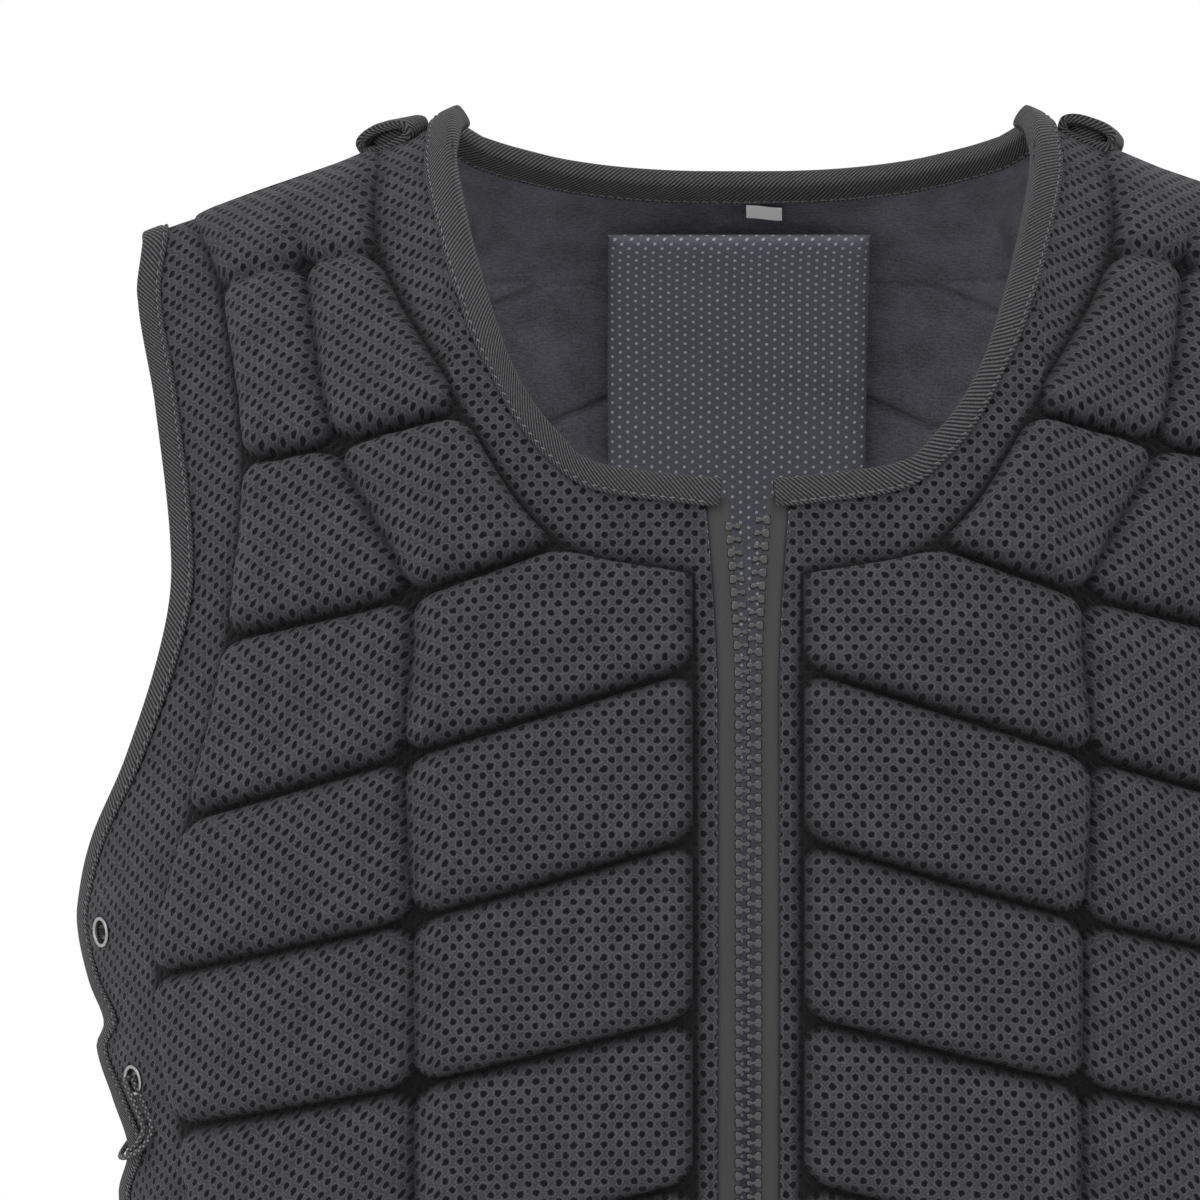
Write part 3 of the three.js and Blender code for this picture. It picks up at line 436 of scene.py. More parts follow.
class Link:
    """One socket of a material. Numbers and other links can stand on either side of + - * /."""

    def __init__(self, tree, socket):
        self.tree = tree
        self.socket = socket

    def node(self, kind, inputs, out=0, **settings):
        """Adds any node, with its settings and its inputs, and returns one of its outputs."""
        made = self.tree.nodes.new("ShaderNode" + kind)
        for name, value in settings.items():
            setattr(made, name, value)
        for key, value in inputs.items():
            if isinstance(value, Link):
                self.tree.links.new(value.socket, made.inputs[key])
            else:
                made.inputs[key].default_value = value
        return Link(self.tree, made.outputs[out])

    def maths(self, operation, a, b=0.0):
        """A Math node for numbers and a Vector Math node for vectors."""
        if self.socket.type != "VECTOR":
            return self.node("Math", {0: a, 1: b}, operation=operation)
        a, b = ((v,) * 3 if isinstance(v, (int, float)) else v for v in (a, b))
        return self.node("VectorMath", {0: a, 1: b}, operation=operation)

    def __add__(self, other):
        return self.maths("ADD", self, other)

    def __radd__(self, other):
        return self.maths("ADD", other, self)

    def __sub__(self, other):
        return self.maths("SUBTRACT", self, other)

    def __rsub__(self, other):
        return self.maths("SUBTRACT", other, self)

    def __mul__(self, other):
        return self.maths("MULTIPLY", self, other)

    def __rmul__(self, other):
        return self.maths("MULTIPLY", other, self)

    def __truediv__(self, other):
        return self.maths("DIVIDE", self, other)

    def fract(self):
        """What is left after the whole number."""
        return self.maths("FRACTION", self)

    def sine(self):
        """The sine of a number in radians."""
        return self.maths("SINE", self)

    def smaller(self, other):
        """The smaller of two numbers."""
        return self.maths("MINIMUM", self, other)

    def larger(self, other):
        """The larger of two numbers."""
        return self.maths("MAXIMUM", self, other)

    def size(self):
        """The length of a vector."""
        return self.node("VectorMath", {0: self}, out=1, operation="LENGTH")

    def part(self, axis):
        """One part of a vector: 0, 1 or 2."""
        return self.node("SeparateXYZ", {0: self}, out=axis)

    def step(self, low, high):
        """Runs smoothly from 0 at low to 1 at high."""
        if low > high:
            return 1.0 - self.step(high, low)
        return self.node("MapRange", {0: self, 1: low, 2: high}, interpolation_type="SMOOTHSTEP")

    def noise(self, scale, detail=2.0):
        """Cloudy noise between 0 and 1 over a place."""
        return self.node("TexNoise", {"Vector": self, "Scale": scale, "Detail": detail})

    def blend(self, first, second):
        """A colour between two, by this share."""
        return self.node("Mix", {0: self, 6: first, 7: second}, out=2, data_type="RGBA")


print("a socket has", len([name for name in vars(Link) if callable(getattr(Link, name))]), "functions")

# %% [markdown]
# Dark cloth is nearly grey with a touch of blue. Each finish below is a function that draws over
# a place in millimetres and gives back a colour, a roughness and a relief, and this cell turns
# it into a material. Staggered dots and slanting ribs are the two patterns that most of the
# vest's cloths are made of. A picture of each cloth could be used, but it would blur close up.

# %% From a drawing to a material


def grey(value, blue=1.0):
    """A nearly grey colour, bluer where blue is over 1."""
    return (value, value, value * blue, 1.0)


def material(name, draw, **plain):
    """A material from draw(place in mm), which returns colour, roughness and relief in mm."""
    made = bpy.data.materials.new(name)
    made.use_nodes = True
    tree = made.node_tree
    shader = tree.nodes["Principled BSDF"]
    start = Link(tree, None)
    place = start.node("UVMap", {}, uv_map="map")
    colour, roughness, relief = draw(place)
    bump = start.node("Bump", {"Height": relief, "Distance": 0.001, "Strength": 1.0})
    for key, value in {"Base Color": colour, "Roughness": roughness, "Normal": bump}.items():
        if isinstance(value, Link):
            tree.links.new(value.socket, shader.inputs[key])
        else:
            shader.inputs[key].default_value = value
    for key, value in plain.items():
        shader.inputs[key.replace("_", " ")].default_value = value
    return made


def staggered(place, width, height):
    """Distance in mm to the nearest point of a lattice whose rows are shifted by half."""
    cell = (width, height, 1.0)
    flat = (width, height, 0.0)
    one = (((place / cell).fract() - 0.5) * flat).size()
    other = (((place / cell + (0.5, 0.5, 0.0)).fract() - 0.5) * flat).size()
    return one.smaller(other)


def ribs(place, pitch, lean=1.0):
    """A wave from 0 to 1 across slanting ribs with a pitch in mm."""
    across = (place.part(0) + lean * place.part(1)) * (2 * np.pi / pitch / (1 + lean**2) ** 0.5)
    return across.sine() * 0.5 + 0.5


print("greys run from", grey(0.0025, 1.2)[:3], "to", grey(0.9)[:3])

# %% [markdown]
# ## Cloths
# The outside is a knitted spacer mesh: dark round holes in staggered rows between lighter yarns. Real holes
# would need millions of faces, so here they are a dent of nearly a millimetre and a dark colour, which is
# painted shade for the hollow seen through them. A lighter ring round each hole is a painted highlight. The
# second map holds painted shade, which darkens the cloth towards the bottom of each groove.

# %% Knitted mesh
hole_columns, hole_rows = 5.2, 6.4


def knitted_mesh(place):
    """Round holes about 2 mm wide in staggered rows, with loops of yarn between them, a painted highlight
    round each hole, and painted shade in the holes and in the grooves.
    """
    # crease reads the painted groove shade that the padded panels carry in their second map.
    crease = place.node("UVMap", {}, uv_map="painted_groove_shade").part(0)
    wander = place + (place.noise(0.22) - 0.5) * 1.6
    hole = staggered(wander, hole_columns, hole_rows) + (place.noise(0.9, 3.0) - 0.5) * 1.1
    open_share = hole.step(1.45, 0.80)
    yarn = ribs(wander, 1.15, 0.9) * 0.5 + ribs(wander, 1.3, -0.8) * 0.5
    fleck = place.noise(1.9, 3.0).step(0.50, 0.74)
    # rim is a painted highlight: a lighter ring round each hole, where the yarn at its edge would catch the
    # light.
    rim = hole.step(2.1, 1.45) * (1.0 - open_share)
    shade = place.noise(0.08).step(0.3, 0.75)
    light = (yarn * 0.25 + fleck * 0.85 + rim * 0.30 + shade * 0.15).smaller(1.0)
    yarns = light.blend(grey(0.022, 1.10), grey(0.112, 1.12))
    # The hole's near-black colour is painted shade for the hollow seen through it.
    cloth_colour = open_share.blend(yarns, grey(0.0025, 1.2))
    # Painted shade: towards the bottom of each groove, beside the flat strips and along the hem strip, the
    # cloth is darkened nearly to black.
    colour = (crease * 0.95).blend(cloth_colour, grey(0.0045, 1.2))
    relief = yarn * 0.16 + fleck * 0.16 - open_share * 0.9
    return colour, 0.9, relief


print("holes stand", hole_columns, "by", hole_rows, "mm apart")

# %% [markdown]
# The edges are bound in twill tape with slanting ribs, sewn with a paler twisted thread. The
# zip's tape is a much finer and flatter twill. One pattern of ribs draws all three: only the
# pitch, the lean and the colours differ.

# %% Tape and thread
binding_rib, zip_rib = 1.2, 0.62


def twill(place):
    """Tape with slanting ribs, a stitched edge and a little fluff."""
    rib = ribs(place, binding_rib, -1.0)
    thread = place.noise(1.6, 3.0)
    light = rib.step(0.15, 0.9) * (0.45 + thread.step(0.30, 0.70) * 0.55)
    colour = light.blend(grey(0.012, 1.03), grey(0.125, 1.05))
    return colour, 0.85, rib * 0.30 + thread * 0.12


def sewing_thread(place):
    """Paler twisted thread."""
    twist = ribs(place, 0.5)
    return twist.blend(grey(0.07), grey(0.21, 1.03)), 0.7, twist * 0.05


def close_tape(place):
    """A fine even twill."""
    rib = ribs(place, zip_rib, 0.6)
    thread = place.noise(2.0, 3.0)
    colour = (rib * 0.5 + thread * 0.5).blend(grey(0.038, 1.02), grey(0.078, 1.02))
    return colour, 0.9, rib * 0.07 + thread * 0.06


print("ribs stand", binding_rib, "mm apart on the binding and", zip_rib, "mm on the zip")

# %% [markdown]
# Inside, the lining is a close smooth knit with soft slubs, and the spine pad wears a darker
# cloth printed with small light dots. Both are pale enough beside the outside that the hollow
# of the vest reads as a room and not as a hole.

# %% Lining and dotted cloth
dot_columns, dot_rows = 6.0, 3.8


def smooth_lining(place):
    """A close knit with faint upright rows."""
    row = (place.part(0) * (2 * np.pi / 0.9)).sine() * 0.5 + 0.5
    thread = place.noise(1.1, 4.0).step(0.3, 0.7)
    slub = (place * (0.35, 1.2, 1.0)).noise(1.0, 3.0).step(0.35, 0.75)
    cloud = place.noise(0.06).step(0.3, 0.7)
    light = thread * 0.35 + slub * 0.35 + cloud * 0.3
    colour = light.blend(grey(0.070, 1.20), grey(0.215, 1.18))
    return colour, 0.8, row * 0.05 + thread * 0.12 + slub * 0.08


def dotted_cloth(place):
    """Small light dots in staggered columns on dark blue grey."""
    dot = (staggered(place, dot_columns, dot_rows) + (place.noise(1.5) - 0.5) * 0.25).step(0.72, 0.42)
    thread = place.noise(1.4, 3.0)
    ground = thread.blend(grey(0.070, 1.28), grey(0.190, 1.22))
    return dot.blend(ground, grey(0.50, 1.06)), 0.82, thread * 0.12 + dot * 0.12


print("dots stand", dot_columns, "by", dot_rows, "mm apart")

# %% [markdown]
# The teeth and the slider are moulded in glossy black, the eyelets and the pull are plated with
# nickel, and the laces are braided. The tag is satin with fine ribs. Noise that changes the
# roughness a little keeps all of them from looking like new glass.

# %% Plastic, plating, braid, tag and floor


def black_plastic(place):
    """Glossy moulded black, a little scuffed."""
    cloud = place.noise(0.8, 3.0)
    colour = cloud.blend(grey(0.008, 1.05), grey(0.020, 1.05))
    return colour, cloud.step(0.2, 0.8) * 0.12 + 0.14, cloud * 0.03


def plated(place):
    """Nickel with fine rubbing marks."""
    rub = (place * (6.0, 0.6, 1.0)).noise(1.0, 3.0)
    colour = rub.blend(grey(0.26, 0.98), grey(0.46, 0.98))
    return colour, rub * 0.22 + 0.18, rub * 0.015


def braid(place):
    """Crossing strands of a braided cord, with light flecks."""
    cross = ribs(place, 1.5, 1.0).larger(ribs(place, 1.5, -1.0))
    fleck = staggered(place, 2.4, 2.1).step(0.6, 0.25)
    ground = cross.blend(grey(0.008), grey(0.045, 1.05))
    return fleck.blend(ground, grey(0.20)), 0.8, cross * 0.25


def white_tag(place):
    """A bare satin tag."""
    rib = (place.part(1) * (2 * np.pi / 0.35)).sine() * 0.5 + 0.5
    return (rib * 0.4 + place.noise(1.5) * 0.6).blend(grey(0.62), grey(0.84)), 0.6, rib * 0.03


def pale_floor(place):
    """Plain matt paper."""
    return place.noise(2.0).blend(grey(0.86), grey(0.9)), 0.9, place.noise(6.0) * 0.02


hard_finishes = (black_plastic, plated, braid, white_tag, pale_floor)
print(len(hard_finishes), "finishes:", ", ".join(finish.__name__ for finish in hard_finishes))

# %% [markdown]
# Sheen stands for the fine fluff of a cloth, and a coat for the skin of moulded plastic. Both are
# one number for a whole piece, while colour, roughness and relief change over its surface.

# %% The materials
fluff = dict(Sheen_Weight=0.05, Sheen_Roughness=0.5, Specular_IOR_Level=0.2)
soft_fluff = dict(Sheen_Weight=0.05, Sheen_Roughness=0.4, Specular_IOR_Level=0.25)
cloth = {
    "mesh_fabric": material("mesh_fabric", knitted_mesh, **fluff),
    "twill_binding": material("twill_binding", twill, **fluff),
    "binding_thread": material("binding_thread", sewing_thread),
    "zip_tape": material("zip_tape", close_tape, Specular_IOR_Level=0.2),
    "lining_fabric": material("lining_fabric", smooth_lining, **soft_fluff),
    "spine_fabric": material("spine_fabric", dotted_cloth, Specular_IOR_Level=0.25),
    "moulded_plastic": material("moulded_plastic", black_plastic, Coat_Weight=1.0, Coat_Roughness=0.16),
    "nickel": material("nickel", plated, Metallic=1.0),
    "lace_cord": material("lace_cord", braid),
    "label": material("label", white_tag),
}
floor_mesh.uv_layers.new(name="map")
floor_mesh.materials.append(material("floor_paper", pale_floor))
print(len(cloth), "materials")

# %% [markdown]
# ## Padded panels
# On the real vest, foam blocks lie in slanting rows between the mesh and the lining, and a seam
# beside each block lets the vest bend. Each block could be a cushion of its own, but the cloth
# over them is one piece. So a panel is one grid: lines run from its inner edge to its rim, and
# the cloth dips wherever a line or one of the upright seams passes. The tables name each line's
# places as shares of the vest's length and of the chest's half width.

# %% The lines between the foam blocks
columns = "neck edge blockX block seamX seam sideX side rim cut"
none = np.nan
front_lines = table(
    columns,
    (0.0, none, 0.531, none, 0.663, none, 0.808, none, none, 0.00),
    (1.9, none, 0.534, 0.076, 0.642, 0.083, 0.771, 0.097, 0.102, 0.40),
    (3.4, none, 0.405, 0.176, 0.591, 0.196, 0.734, 0.207, 0.213, 1.00),
    (5.6, none, 0.261, 0.257, 0.484, 0.289, 0.756, 0.316, 0.323, 1.00),
    (7.0, none, 0.075, 0.275, 0.485, 0.299, 0.761, 0.326, 0.333, 0.00),
    (none, 0.327, 0.075, 0.332, 0.489, 0.386, 0.813, 0.425, 0.434, 1.00),
    (none, 0.431, 0.075, 0.435, 0.476, 0.484, 0.863, 0.522, 0.529, 1.00),
    (none, 0.537, 0.075, 0.542, 0.473, 0.584, 0.828, 0.614, 0.620, 1.00),
    (none, 0.637, 0.075, 0.641, 0.473, 0.683, 0.792, 0.711, 0.718, 1.00),
    (none, 0.740, 0.075, 0.744, 0.473, 0.786, 0.775, 0.814, 0.821, 1.00),
    (none, 0.843, 0.075, 0.848, 0.473, 0.890, 0.785, 0.916, 0.923, 1.00),
    (none, 0.955, 0.075, 0.955, 0.473, 0.955, 0.805, 0.948, 0.945, 1.00),
    (none, 1.000, 0.075, 1.000, 0.473, 1.000, 0.805, 0.993, 0.990, 1.00),
)
back_lines = table(
    columns,
    (0.0, none, 0.531, none, 0.663, none, 0.808, none, none, 0.00),
    (1.7, none, 0.488, 0.066, 0.642, 0.083, 0.771, 0.097, 0.102, 0.40),
    (4.3, none, 0.293, 0.076, 0.591, 0.134, 0.746, 0.168, 0.174, 1.00),
    (7.0, none, 0.025, 0.078, 0.586, 0.144, 0.746, 0.178, 0.184, 0.00),
    (none, 0.118, 0.025, 0.123, 0.533, 0.219, 0.737, 0.253, 0.260, 1.00),
    (none, 0.236, 0.025, 0.240, 0.484, 0.314, 0.778, 0.350, 0.357, 1.00),
    (none, 0.355, 0.025, 0.358, 0.476, 0.424, 0.819, 0.462, 0.468, 1.00),
    (none, 0.473, 0.025, 0.476, 0.476, 0.541, 0.824, 0.575, 0.581, 1.00),
    (none, 0.591, 0.025, 0.594, 0.473, 0.656, 0.800, 0.688, 0.694, 1.00),
    (none, 0.710, 0.025, 0.713, 0.473, 0.774, 0.775, 0.803, 0.809, 1.00),
    (none, 0.828, 0.025, 0.831, 0.473, 0.890, 0.785, 0.916, 0.922, 1.00),
    (none, 0.955, 0.025, 0.955, 0.473, 0.955, 0.805, 0.948, 0.945, 1.00),
    (none, 1.000, 0.025, 1.000, 0.473, 1.000, 0.805, 0.993, 0.990, 1.00),
)


def mid_back(drop):
    """The halves of the back meet in the middle, so x is 0 at every drop."""
    return 0 * drop


front = dict(lines=front_lines, neck=front_neck, neck_drop=front_neck_drop, middle=zip_x, face=-1)
back = dict(lines=back_lines, neck=back_neck, neck_drop=back_neck_drop, middle=mid_back, face=1)
print(len(front_lines["cut"]), "lines in front and", len(back_lines["cut"]), "on the back")

# %% [markdown]
# A cutter marks where each seam crosses the edge, the middle of the blocks, the side and the rim.
# Five places on each line do the same here. Between the lines a smooth curve is drawn through
# them, and at the corner where the neckline meets the zip the curve is allowed to turn sharply.

# %% Main places of a line


def corner_line(panel):
    """The line that ends where the neckline meets the middle."""
    return int(np.nanargmax(panel["lines"]["neck"]))


def main_places(panel, s):
    """x and drop of the five main places of the line s: edge, block, seam, side and rim."""
    lines, corner = panel["lines"], corner_line(panel)
    count = len(lines["cut"])
    knots = np.arange(count) - np.where(np.arange(count) > corner, 1.0, 0.0)
    knots[corner] = corner - 0.5
    kept = np.arange(count) != corner
    at_neck = s <= knots[corner]
    station = np.interp(s, knots[: corner + 1], lines["neck"][: corner + 1])
    start = shoulder_drop(0)
    fall = panel["neck_drop"] - start
    neck_drop = start + fall * follow(panel["neck"]["station"], panel["neck"]["drop"], station)
    inner = panel["middle"](np.array(panel["neck_drop"]))
    width_share = follow(panel["neck"]["station"], panel["neck"]["width"], station)
    neck_x = inner + (neck_half_width - inner) * width_share
    below = np.concatenate([[panel["neck_drop"]], lines["edge"][corner + 1 :] * vest_length])
    edge_drop = np.where(at_neck, neck_drop, np.interp(s, knots[corner:], below))
    edge_x = np.where(at_neck, neck_x, panel["middle"](edge_drop))
    xs, drops = [edge_x], [edge_drop]
    for name in ("block", "seam", "side"):
        x = lines[name + "X"] * chest_half_width
        drop = lines[name] * vest_length
        drop[0] = shoulder_drop(x[0])
        if name == "block":
            top = slice(0, corner + 1)
            xs.append(np.where(at_neck, follow(knots[top], x[top], s), np.interp(s, knots, x)))
            drops.append(np.where(at_neck, follow(knots[top], drop[top], s), np.interp(s, knots, drop)))
        else:
            xs.append(follow(knots[kept], x[kept], s))
            drops.append(follow(knots[kept], drop[kept], s))
    rim = lines["rim"] * vest_length
    rim[0] = shoulder_drop(rim_x(0))
    rim_drop = follow(knots[kept], rim[kept], s)
    rim_at = np.where(s == 0, rim_x(0), rim_x(rim_drop))
    return np.stack(xs + [rim_at], axis=1), np.stack(drops + [rim_drop], axis=1)


print("a front line", np.round(main_places(front, np.array([4.0]))[0], 1))

# %% [markdown]
# A groove is only a few millimetres wide, while a block is flat for centimetres. An even grid
# fine enough for the groove would waste most of its faces on the blocks, so the steps close up
# at every line. Between the five places the panel is filled across by the same smooth curves.

# %% A grid over a panel
gather = 0.65


def spread(counts, pull):
    """Steps across whole numbers, closer together near each of them."""
    parts = []
    for k, count in enumerate(counts):
        t = np.arange(count) / count
        parts.append(k + t - pull * np.sin(2 * np.pi * t) / (2 * np.pi))
    return np.concatenate(parts + [[len(counts)]])


def panel_places(panel, s, c):
    """x and drop over a panel: s runs down the lines and c across the five main places."""
    xs, drops = main_places(panel, s)
    share = np.stack(
        [
            np.where((c < 1) | (c > 3), np.interp(c, range(5), one), follow([1, 2, 3], one[1:4], c))
            for one in np.eye(5)
        ]
    )
    near_top = np.maximum(1 - s, 0)[:, None] ** 2
    x = xs @ share
    drop = (drops - near_top * shoulder_drop(xs)) @ share + near_top * shoulder_drop(x)
    return x, np.maximum(drop, shoulder_drop(x))


print("steps of a block", np.round(np.diff(spread([8], gather)), 2))

# %% [markdown]
# Where the cloth is sewn down it falls off the foam in a quarter round, so a block has soft
# shoulders and the groove is a narrow crease. Sculpting could do it, but a formula keeps all the
# grooves alike: it takes the true distance to the nearest seam, measured along the cloth.

# %% Grooves
row_flat, upright_flat, seam_flat = 1.2, 1.0, 0.4
block_shoulder, lining_shoulder, seam_share = 9.5, 6.0, 0.6


def near(distance, radius, flat):
    """1 within the flat half width of a groove, falling evenly to 0 at the radius."""
    return np.clip((radius - np.abs(distance)) / (radius - flat), 0, 1)


def dip(panel, s, c, base, radius):
    """How deep the cloth dips, from 0 on a block to 1 in a groove or on a flat strip.
    Near a groove u falls from 1 to 0 over the radius, and the dip is 1 - sqrt(1 - u^2)."""
    lines, corner = panel["lines"], corner_line(panel)
    cuts = np.delete(lines["cut"], corner)
    down, across = length_along(base, 0), length_along(base, 1)
    total = np.zeros(base.shape[:2])
    for k, cut in enumerate(cuts):
        row = np.argmin(np.abs(s - k))
        strength = 1 - (1 - cut) ** 2
        total += strength * near(down - down[row], radius, row_flat) ** 2
    for k, cut in ((1, 1.0), (2, seam_share), (3, 1.0)):
        column = np.argmin(np.abs(c - k))
        strength = (1 - (1 - cut) ** 2) * (1 if k != 2 else np.clip(s, 0, 1)[:, None])
        flat_width = seam_flat if k == 2 else upright_flat
        total += strength * near(across - across[:, [column]], radius, flat_width) ** 2
    flat = (c[None, :] < 1) | (c[None, :] > 3) | (s[:, None] > len(cuts) - 2)
    return np.where(flat, 1, 1 - np.sqrt(1 - np.minimum(total, 1)))


print("a block's shoulder is", block_shoulder, "mm wide")

# %% [markdown]
# The mesh is cut flat and then bent over the body, so its holes keep their size. The map does
# the reverse: it measures how far each corner lies round the body and down from the shoulder.
# The panel itself is the skin, lowered in the grooves and made a little uneven on the blocks,
# and its lining is the same skin moved inwards by the padding. Cloth simulation could drape
# mesh over foam blocks, but the blocks are glued in and hold their shape, so it isn't needed.

# %% The surface of a panel
shoulder_gap = 0.15
eased_rows, most_eased, ease_times = 1.4, 0.9, 40
# shade_reach, shade_flat and hem_shade shape the painted shade beside the flat strips and along the hem
# strip.
shade_reach, shade_flat, hem_shade = 3.5, 0.3, 0.5


def panel_map(x, drop, face):
    """Where the cloth lies flat: lengths round the body and down from the shoulder."""
    share = np.linspace(0, 1, 20)[:, None, None]
    round_body = lifted(share * x, drop + 0 * share, face, 0.0)
    top = shoulder_drop(x)
    downwards = lifted(x + 0 * share, top + (drop - top) * share**2, face, 0.0)
    return np.stack([length_along(a, 0)[-1] for a in (round_body, downwards)], axis=-1)


def rounded(points, share, times):
    """Each place drawn, by its share and so many times, to the mean of its four neighbours."""
    points = points.copy()
    for _ in range(times):
        mean = (points[:-2, 1:-1] + points[2:, 1:-1] + points[1:-1, :-2] + points[1:-1, 2:]) / 4
        points[1:-1, 1:-1] += share[1:-1] * (mean - points[1:-1, 1:-1])
    return points


def panel_surface(panel, rows, counts, seed):
    """The outside and the lining's side of a panel, with the map, whose third column is painted groove
    shade, and the places.
    """
    face = panel["face"]
    bands = len(panel["lines"]["cut"]) - 2
    s = spread([rows] * bands, gather)
    c = spread(counts, gather)
    x, drop = panel_places(panel, s, c)
    base, normal = skin_frame(x, drop, face)
    base[0, :, 1] = face * shoulder_gap
    deep = dip(panel, s, c, base, block_shoulder)
    shallow = dip(panel, s, c, base, lining_shoulder)
    grown = np.clip(s, 0, 1)[:, None]
    level = grown + (1 - grown) * np.interp(c, [0, 1], [neck_sink, arm_sink])
    padding = shoulder_padding + (pad_thickness - shoulder_padding) * grown
    mirror = base * (1 if seed % 2 else -1, 1, 1)
    block = 1 - deep
    soft = 0.7 * waves(mirror, 46, seed) + 0.28 * waves(mirror, 15, seed + 20)
    pucker = 0.5 * waves(mirror * (1, 1, 0.35), 9, seed + 40) * 4 * deep * block
    height = -groove_depth * deep * level + (block * (0.6 + soft) + pucker) * (0.3 + 0.7 * grown)
    outer = base + normal * height[..., None]
    depth = padding * (1 - shallow) + (groove_depth * level + edge_thickness) * shallow
    eased = np.clip(eased_rows - s, 0, most_eased)[:, None, None]
    inner = rounded(base - normal * depth[..., None], eased, ease_times)
    across = length_along(base, 1)
    one, three = (across[:, [np.argmin(np.abs(c - k))]] for k in (1, 3))
    on_strip = (across < one) | (across > three)
    down, foot = length_along(base, 0), np.argmin(np.abs(s - (bands - 1)))
    beside = np.maximum(
        near(across - one, shade_reach, shade_flat), near(across - three, shade_reach, shade_flat)
    )
    under = hem_shade * near(down - down[foot], shade_reach, shade_flat)
    # crease is painted shade: the cloth is darkened by the depth of each groove, in a band beside the flat
    # strips where the blocks' edges would cast shade, and along the hem strip below the last row of blocks.
    crease = np.where(on_strip, beside, deep**1.5) * (0.2 + 0.8 * grown)
    crease = np.where(s[:, None] > bands - 1, under, crease)
    flat = np.concatenate([panel_map(x, drop, face), crease[..., None]], axis=-1)
    return outer, inner, normal, flat, s


print("padding", pad_thickness, "mm thick,", shoulder_padding, "mm on the shoulder")

# %% [markdown]
# Each front is two closed pieces: the padded body under its mesh cloth, and a thin lining that
# lies against the inside. The right one is worked out with its own seed and then turned over,
# because two sides that are uneven in the same way would look copied.

# %% Front panels
front_rows, back_rows = 30, 22
front_counts, back_counts = (8, 40, 32, 10), (3, 32, 24, 8)
lining_gap, lining_thickness = 0.5, 0.4
surfaces = {}
for side, seed in (("left", 1), ("right", 2)):
    outer, inner, normal, flat, s = panel_surface(front, front_rows, front_counts, seed)
    surfaces[side] = outer, inner, normal, flat, s
    body = slab(outer, inner + normal * (lining_gap + lining_thickness), flat)
    few, few_normals = inner[::2, ::2], normal[::2, ::2]
    lining = slab(few + few_normals * lining_thickness, few, flat[::2, ::2])
    if side == "right":
        body, lining = mirrored(body), mirrored(lining)
    node = "front_panel_" + side
    put(node + "_cloth", body, cloth["mesh_fabric"], [node])
    put(node + "_lining", lining, cloth["lining_fabric"], [node])

# %% [markdown]
# The back is one piece of cloth. Half of it is worked out and doubled, and the corners that lie
# in the middle are shared by both halves below the neckline, so that no seam runs down the
# spine. Above the neckline the halves stay apart, because the neck's opening lies between them.

# %% Back panel


def halves(body, weld):
    """A half body and its mirror image as one, sharing the corners that lie in the middle."""
    points, faces, uv = body
    count = len(points)
    twin = np.arange(count) + count
    twin[weld] = np.flatnonzero(weld)
    joined = np.concatenate([faces, twin[faces][:, ::-1]])
    kept, numbers = np.unique(joined, return_inverse=True)
    both = np.concatenate([points, points * (-1, 1, 1)])[kept]
    return both, numbers.reshape(joined.shape), np.concatenate([uv, uv * (-1, 1, 1)])[kept]


outer, inner, normal, flat, s = panel_surface(back, back_rows, back_counts, 3)
surfaces["back"] = outer, inner, normal, flat, s
neck_row = int(np.argmin(np.abs(s - (corner_line(back) - 0.5))))


def back_body(outside, inside, uv):
    """Both halves of the back, joined down the middle below the neckline."""
    outside, inside = outside.copy(), inside.copy()
    outside[neck_row:, 0, 0] = 0
    inside[neck_row:, 0, 0] = 0
    body = slab(outside, inside, uv, open_from=neck_row)
    middle = np.zeros(outside.shape[:2], dtype=bool)
    middle[neck_row:, 0] = True
    return halves(body, np.tile(middle.ravel(), 2))


body = back_body(outer, inner + normal * (lining_gap + lining_thickness), flat)
put("back_panel_cloth", body, cloth["mesh_fabric"], ["back_panel"])
thin = back_body(inner + normal * lining_thickness, inner, flat)
put("back_panel_lining", thin, cloth["lining_fabric"], ["back_panel"])

# %% [markdown]
# ## Bindings
# Every raw edge is wrapped in twill tape, folded over it and sewn through. A bevelled curve would
# give a round cord, and extruding the edge's faces would give a sharp fold. So the section of the
# tape is drawn, a U of two flat legs and a round nose, and carried along the panel's edge.

# %% Section of the folded tape
tape_leg, tape_wall, neck_gap, rim_gap = 8.6, 1.2, 0.9, 0.4
stitch_inset, stitch_pitch, thread_sunk = 1.5, 3.4, 0.12


def fold_section(gap):
    """The U section: a runs inwards from the edge, b off the panel. The nose is a superellipse."""
    inside = edge_thickness / 2 + gap
    outside = inside + tape_wall
    leg = np.array([1.0, 0.97, 0.9, 1 - stitch_inset / tape_leg, 0.76, 0.6, 0.3, 0.0]) * tape_leg
    rise = np.array([-0.6, -0.15, 0.05, -0.35, 0.1, 0.25, 0.2, 0.05])
    angle = np.linspace(np.pi / 2, -np.pi / 2, 11)[1:-1]
    nose_a = -(gap + tape_wall) * np.abs(np.cos(angle)) ** 0.8
    nose_b = signed_power(np.sin(angle), 0.8)
    a = np.concatenate([leg, nose_a, leg[::-1], [tape_leg * 0.5, 0, -gap, -gap, 0, tape_leg * 0.5]])
    b = np.concatenate([
        outside + rise, nose_b * outside, -(outside + rise)[::-1],
        np.array([-1, -1, -0.6, 0.6, 1, 1]) * inside,
    ])
    return a, b


print("a tape has", len(fold_section(neck_gap)[0]), "corners round its section")

# %% [markdown]
# The tape has to sit on the pad's edge and lean the way the pad leans. At each place along the
# edge three directions are needed: along it, inwards over the pad, and off the pad's face. They
# are read from the panel's own grid, so the tape follows every notch of the side.

# %% Tape along an edge


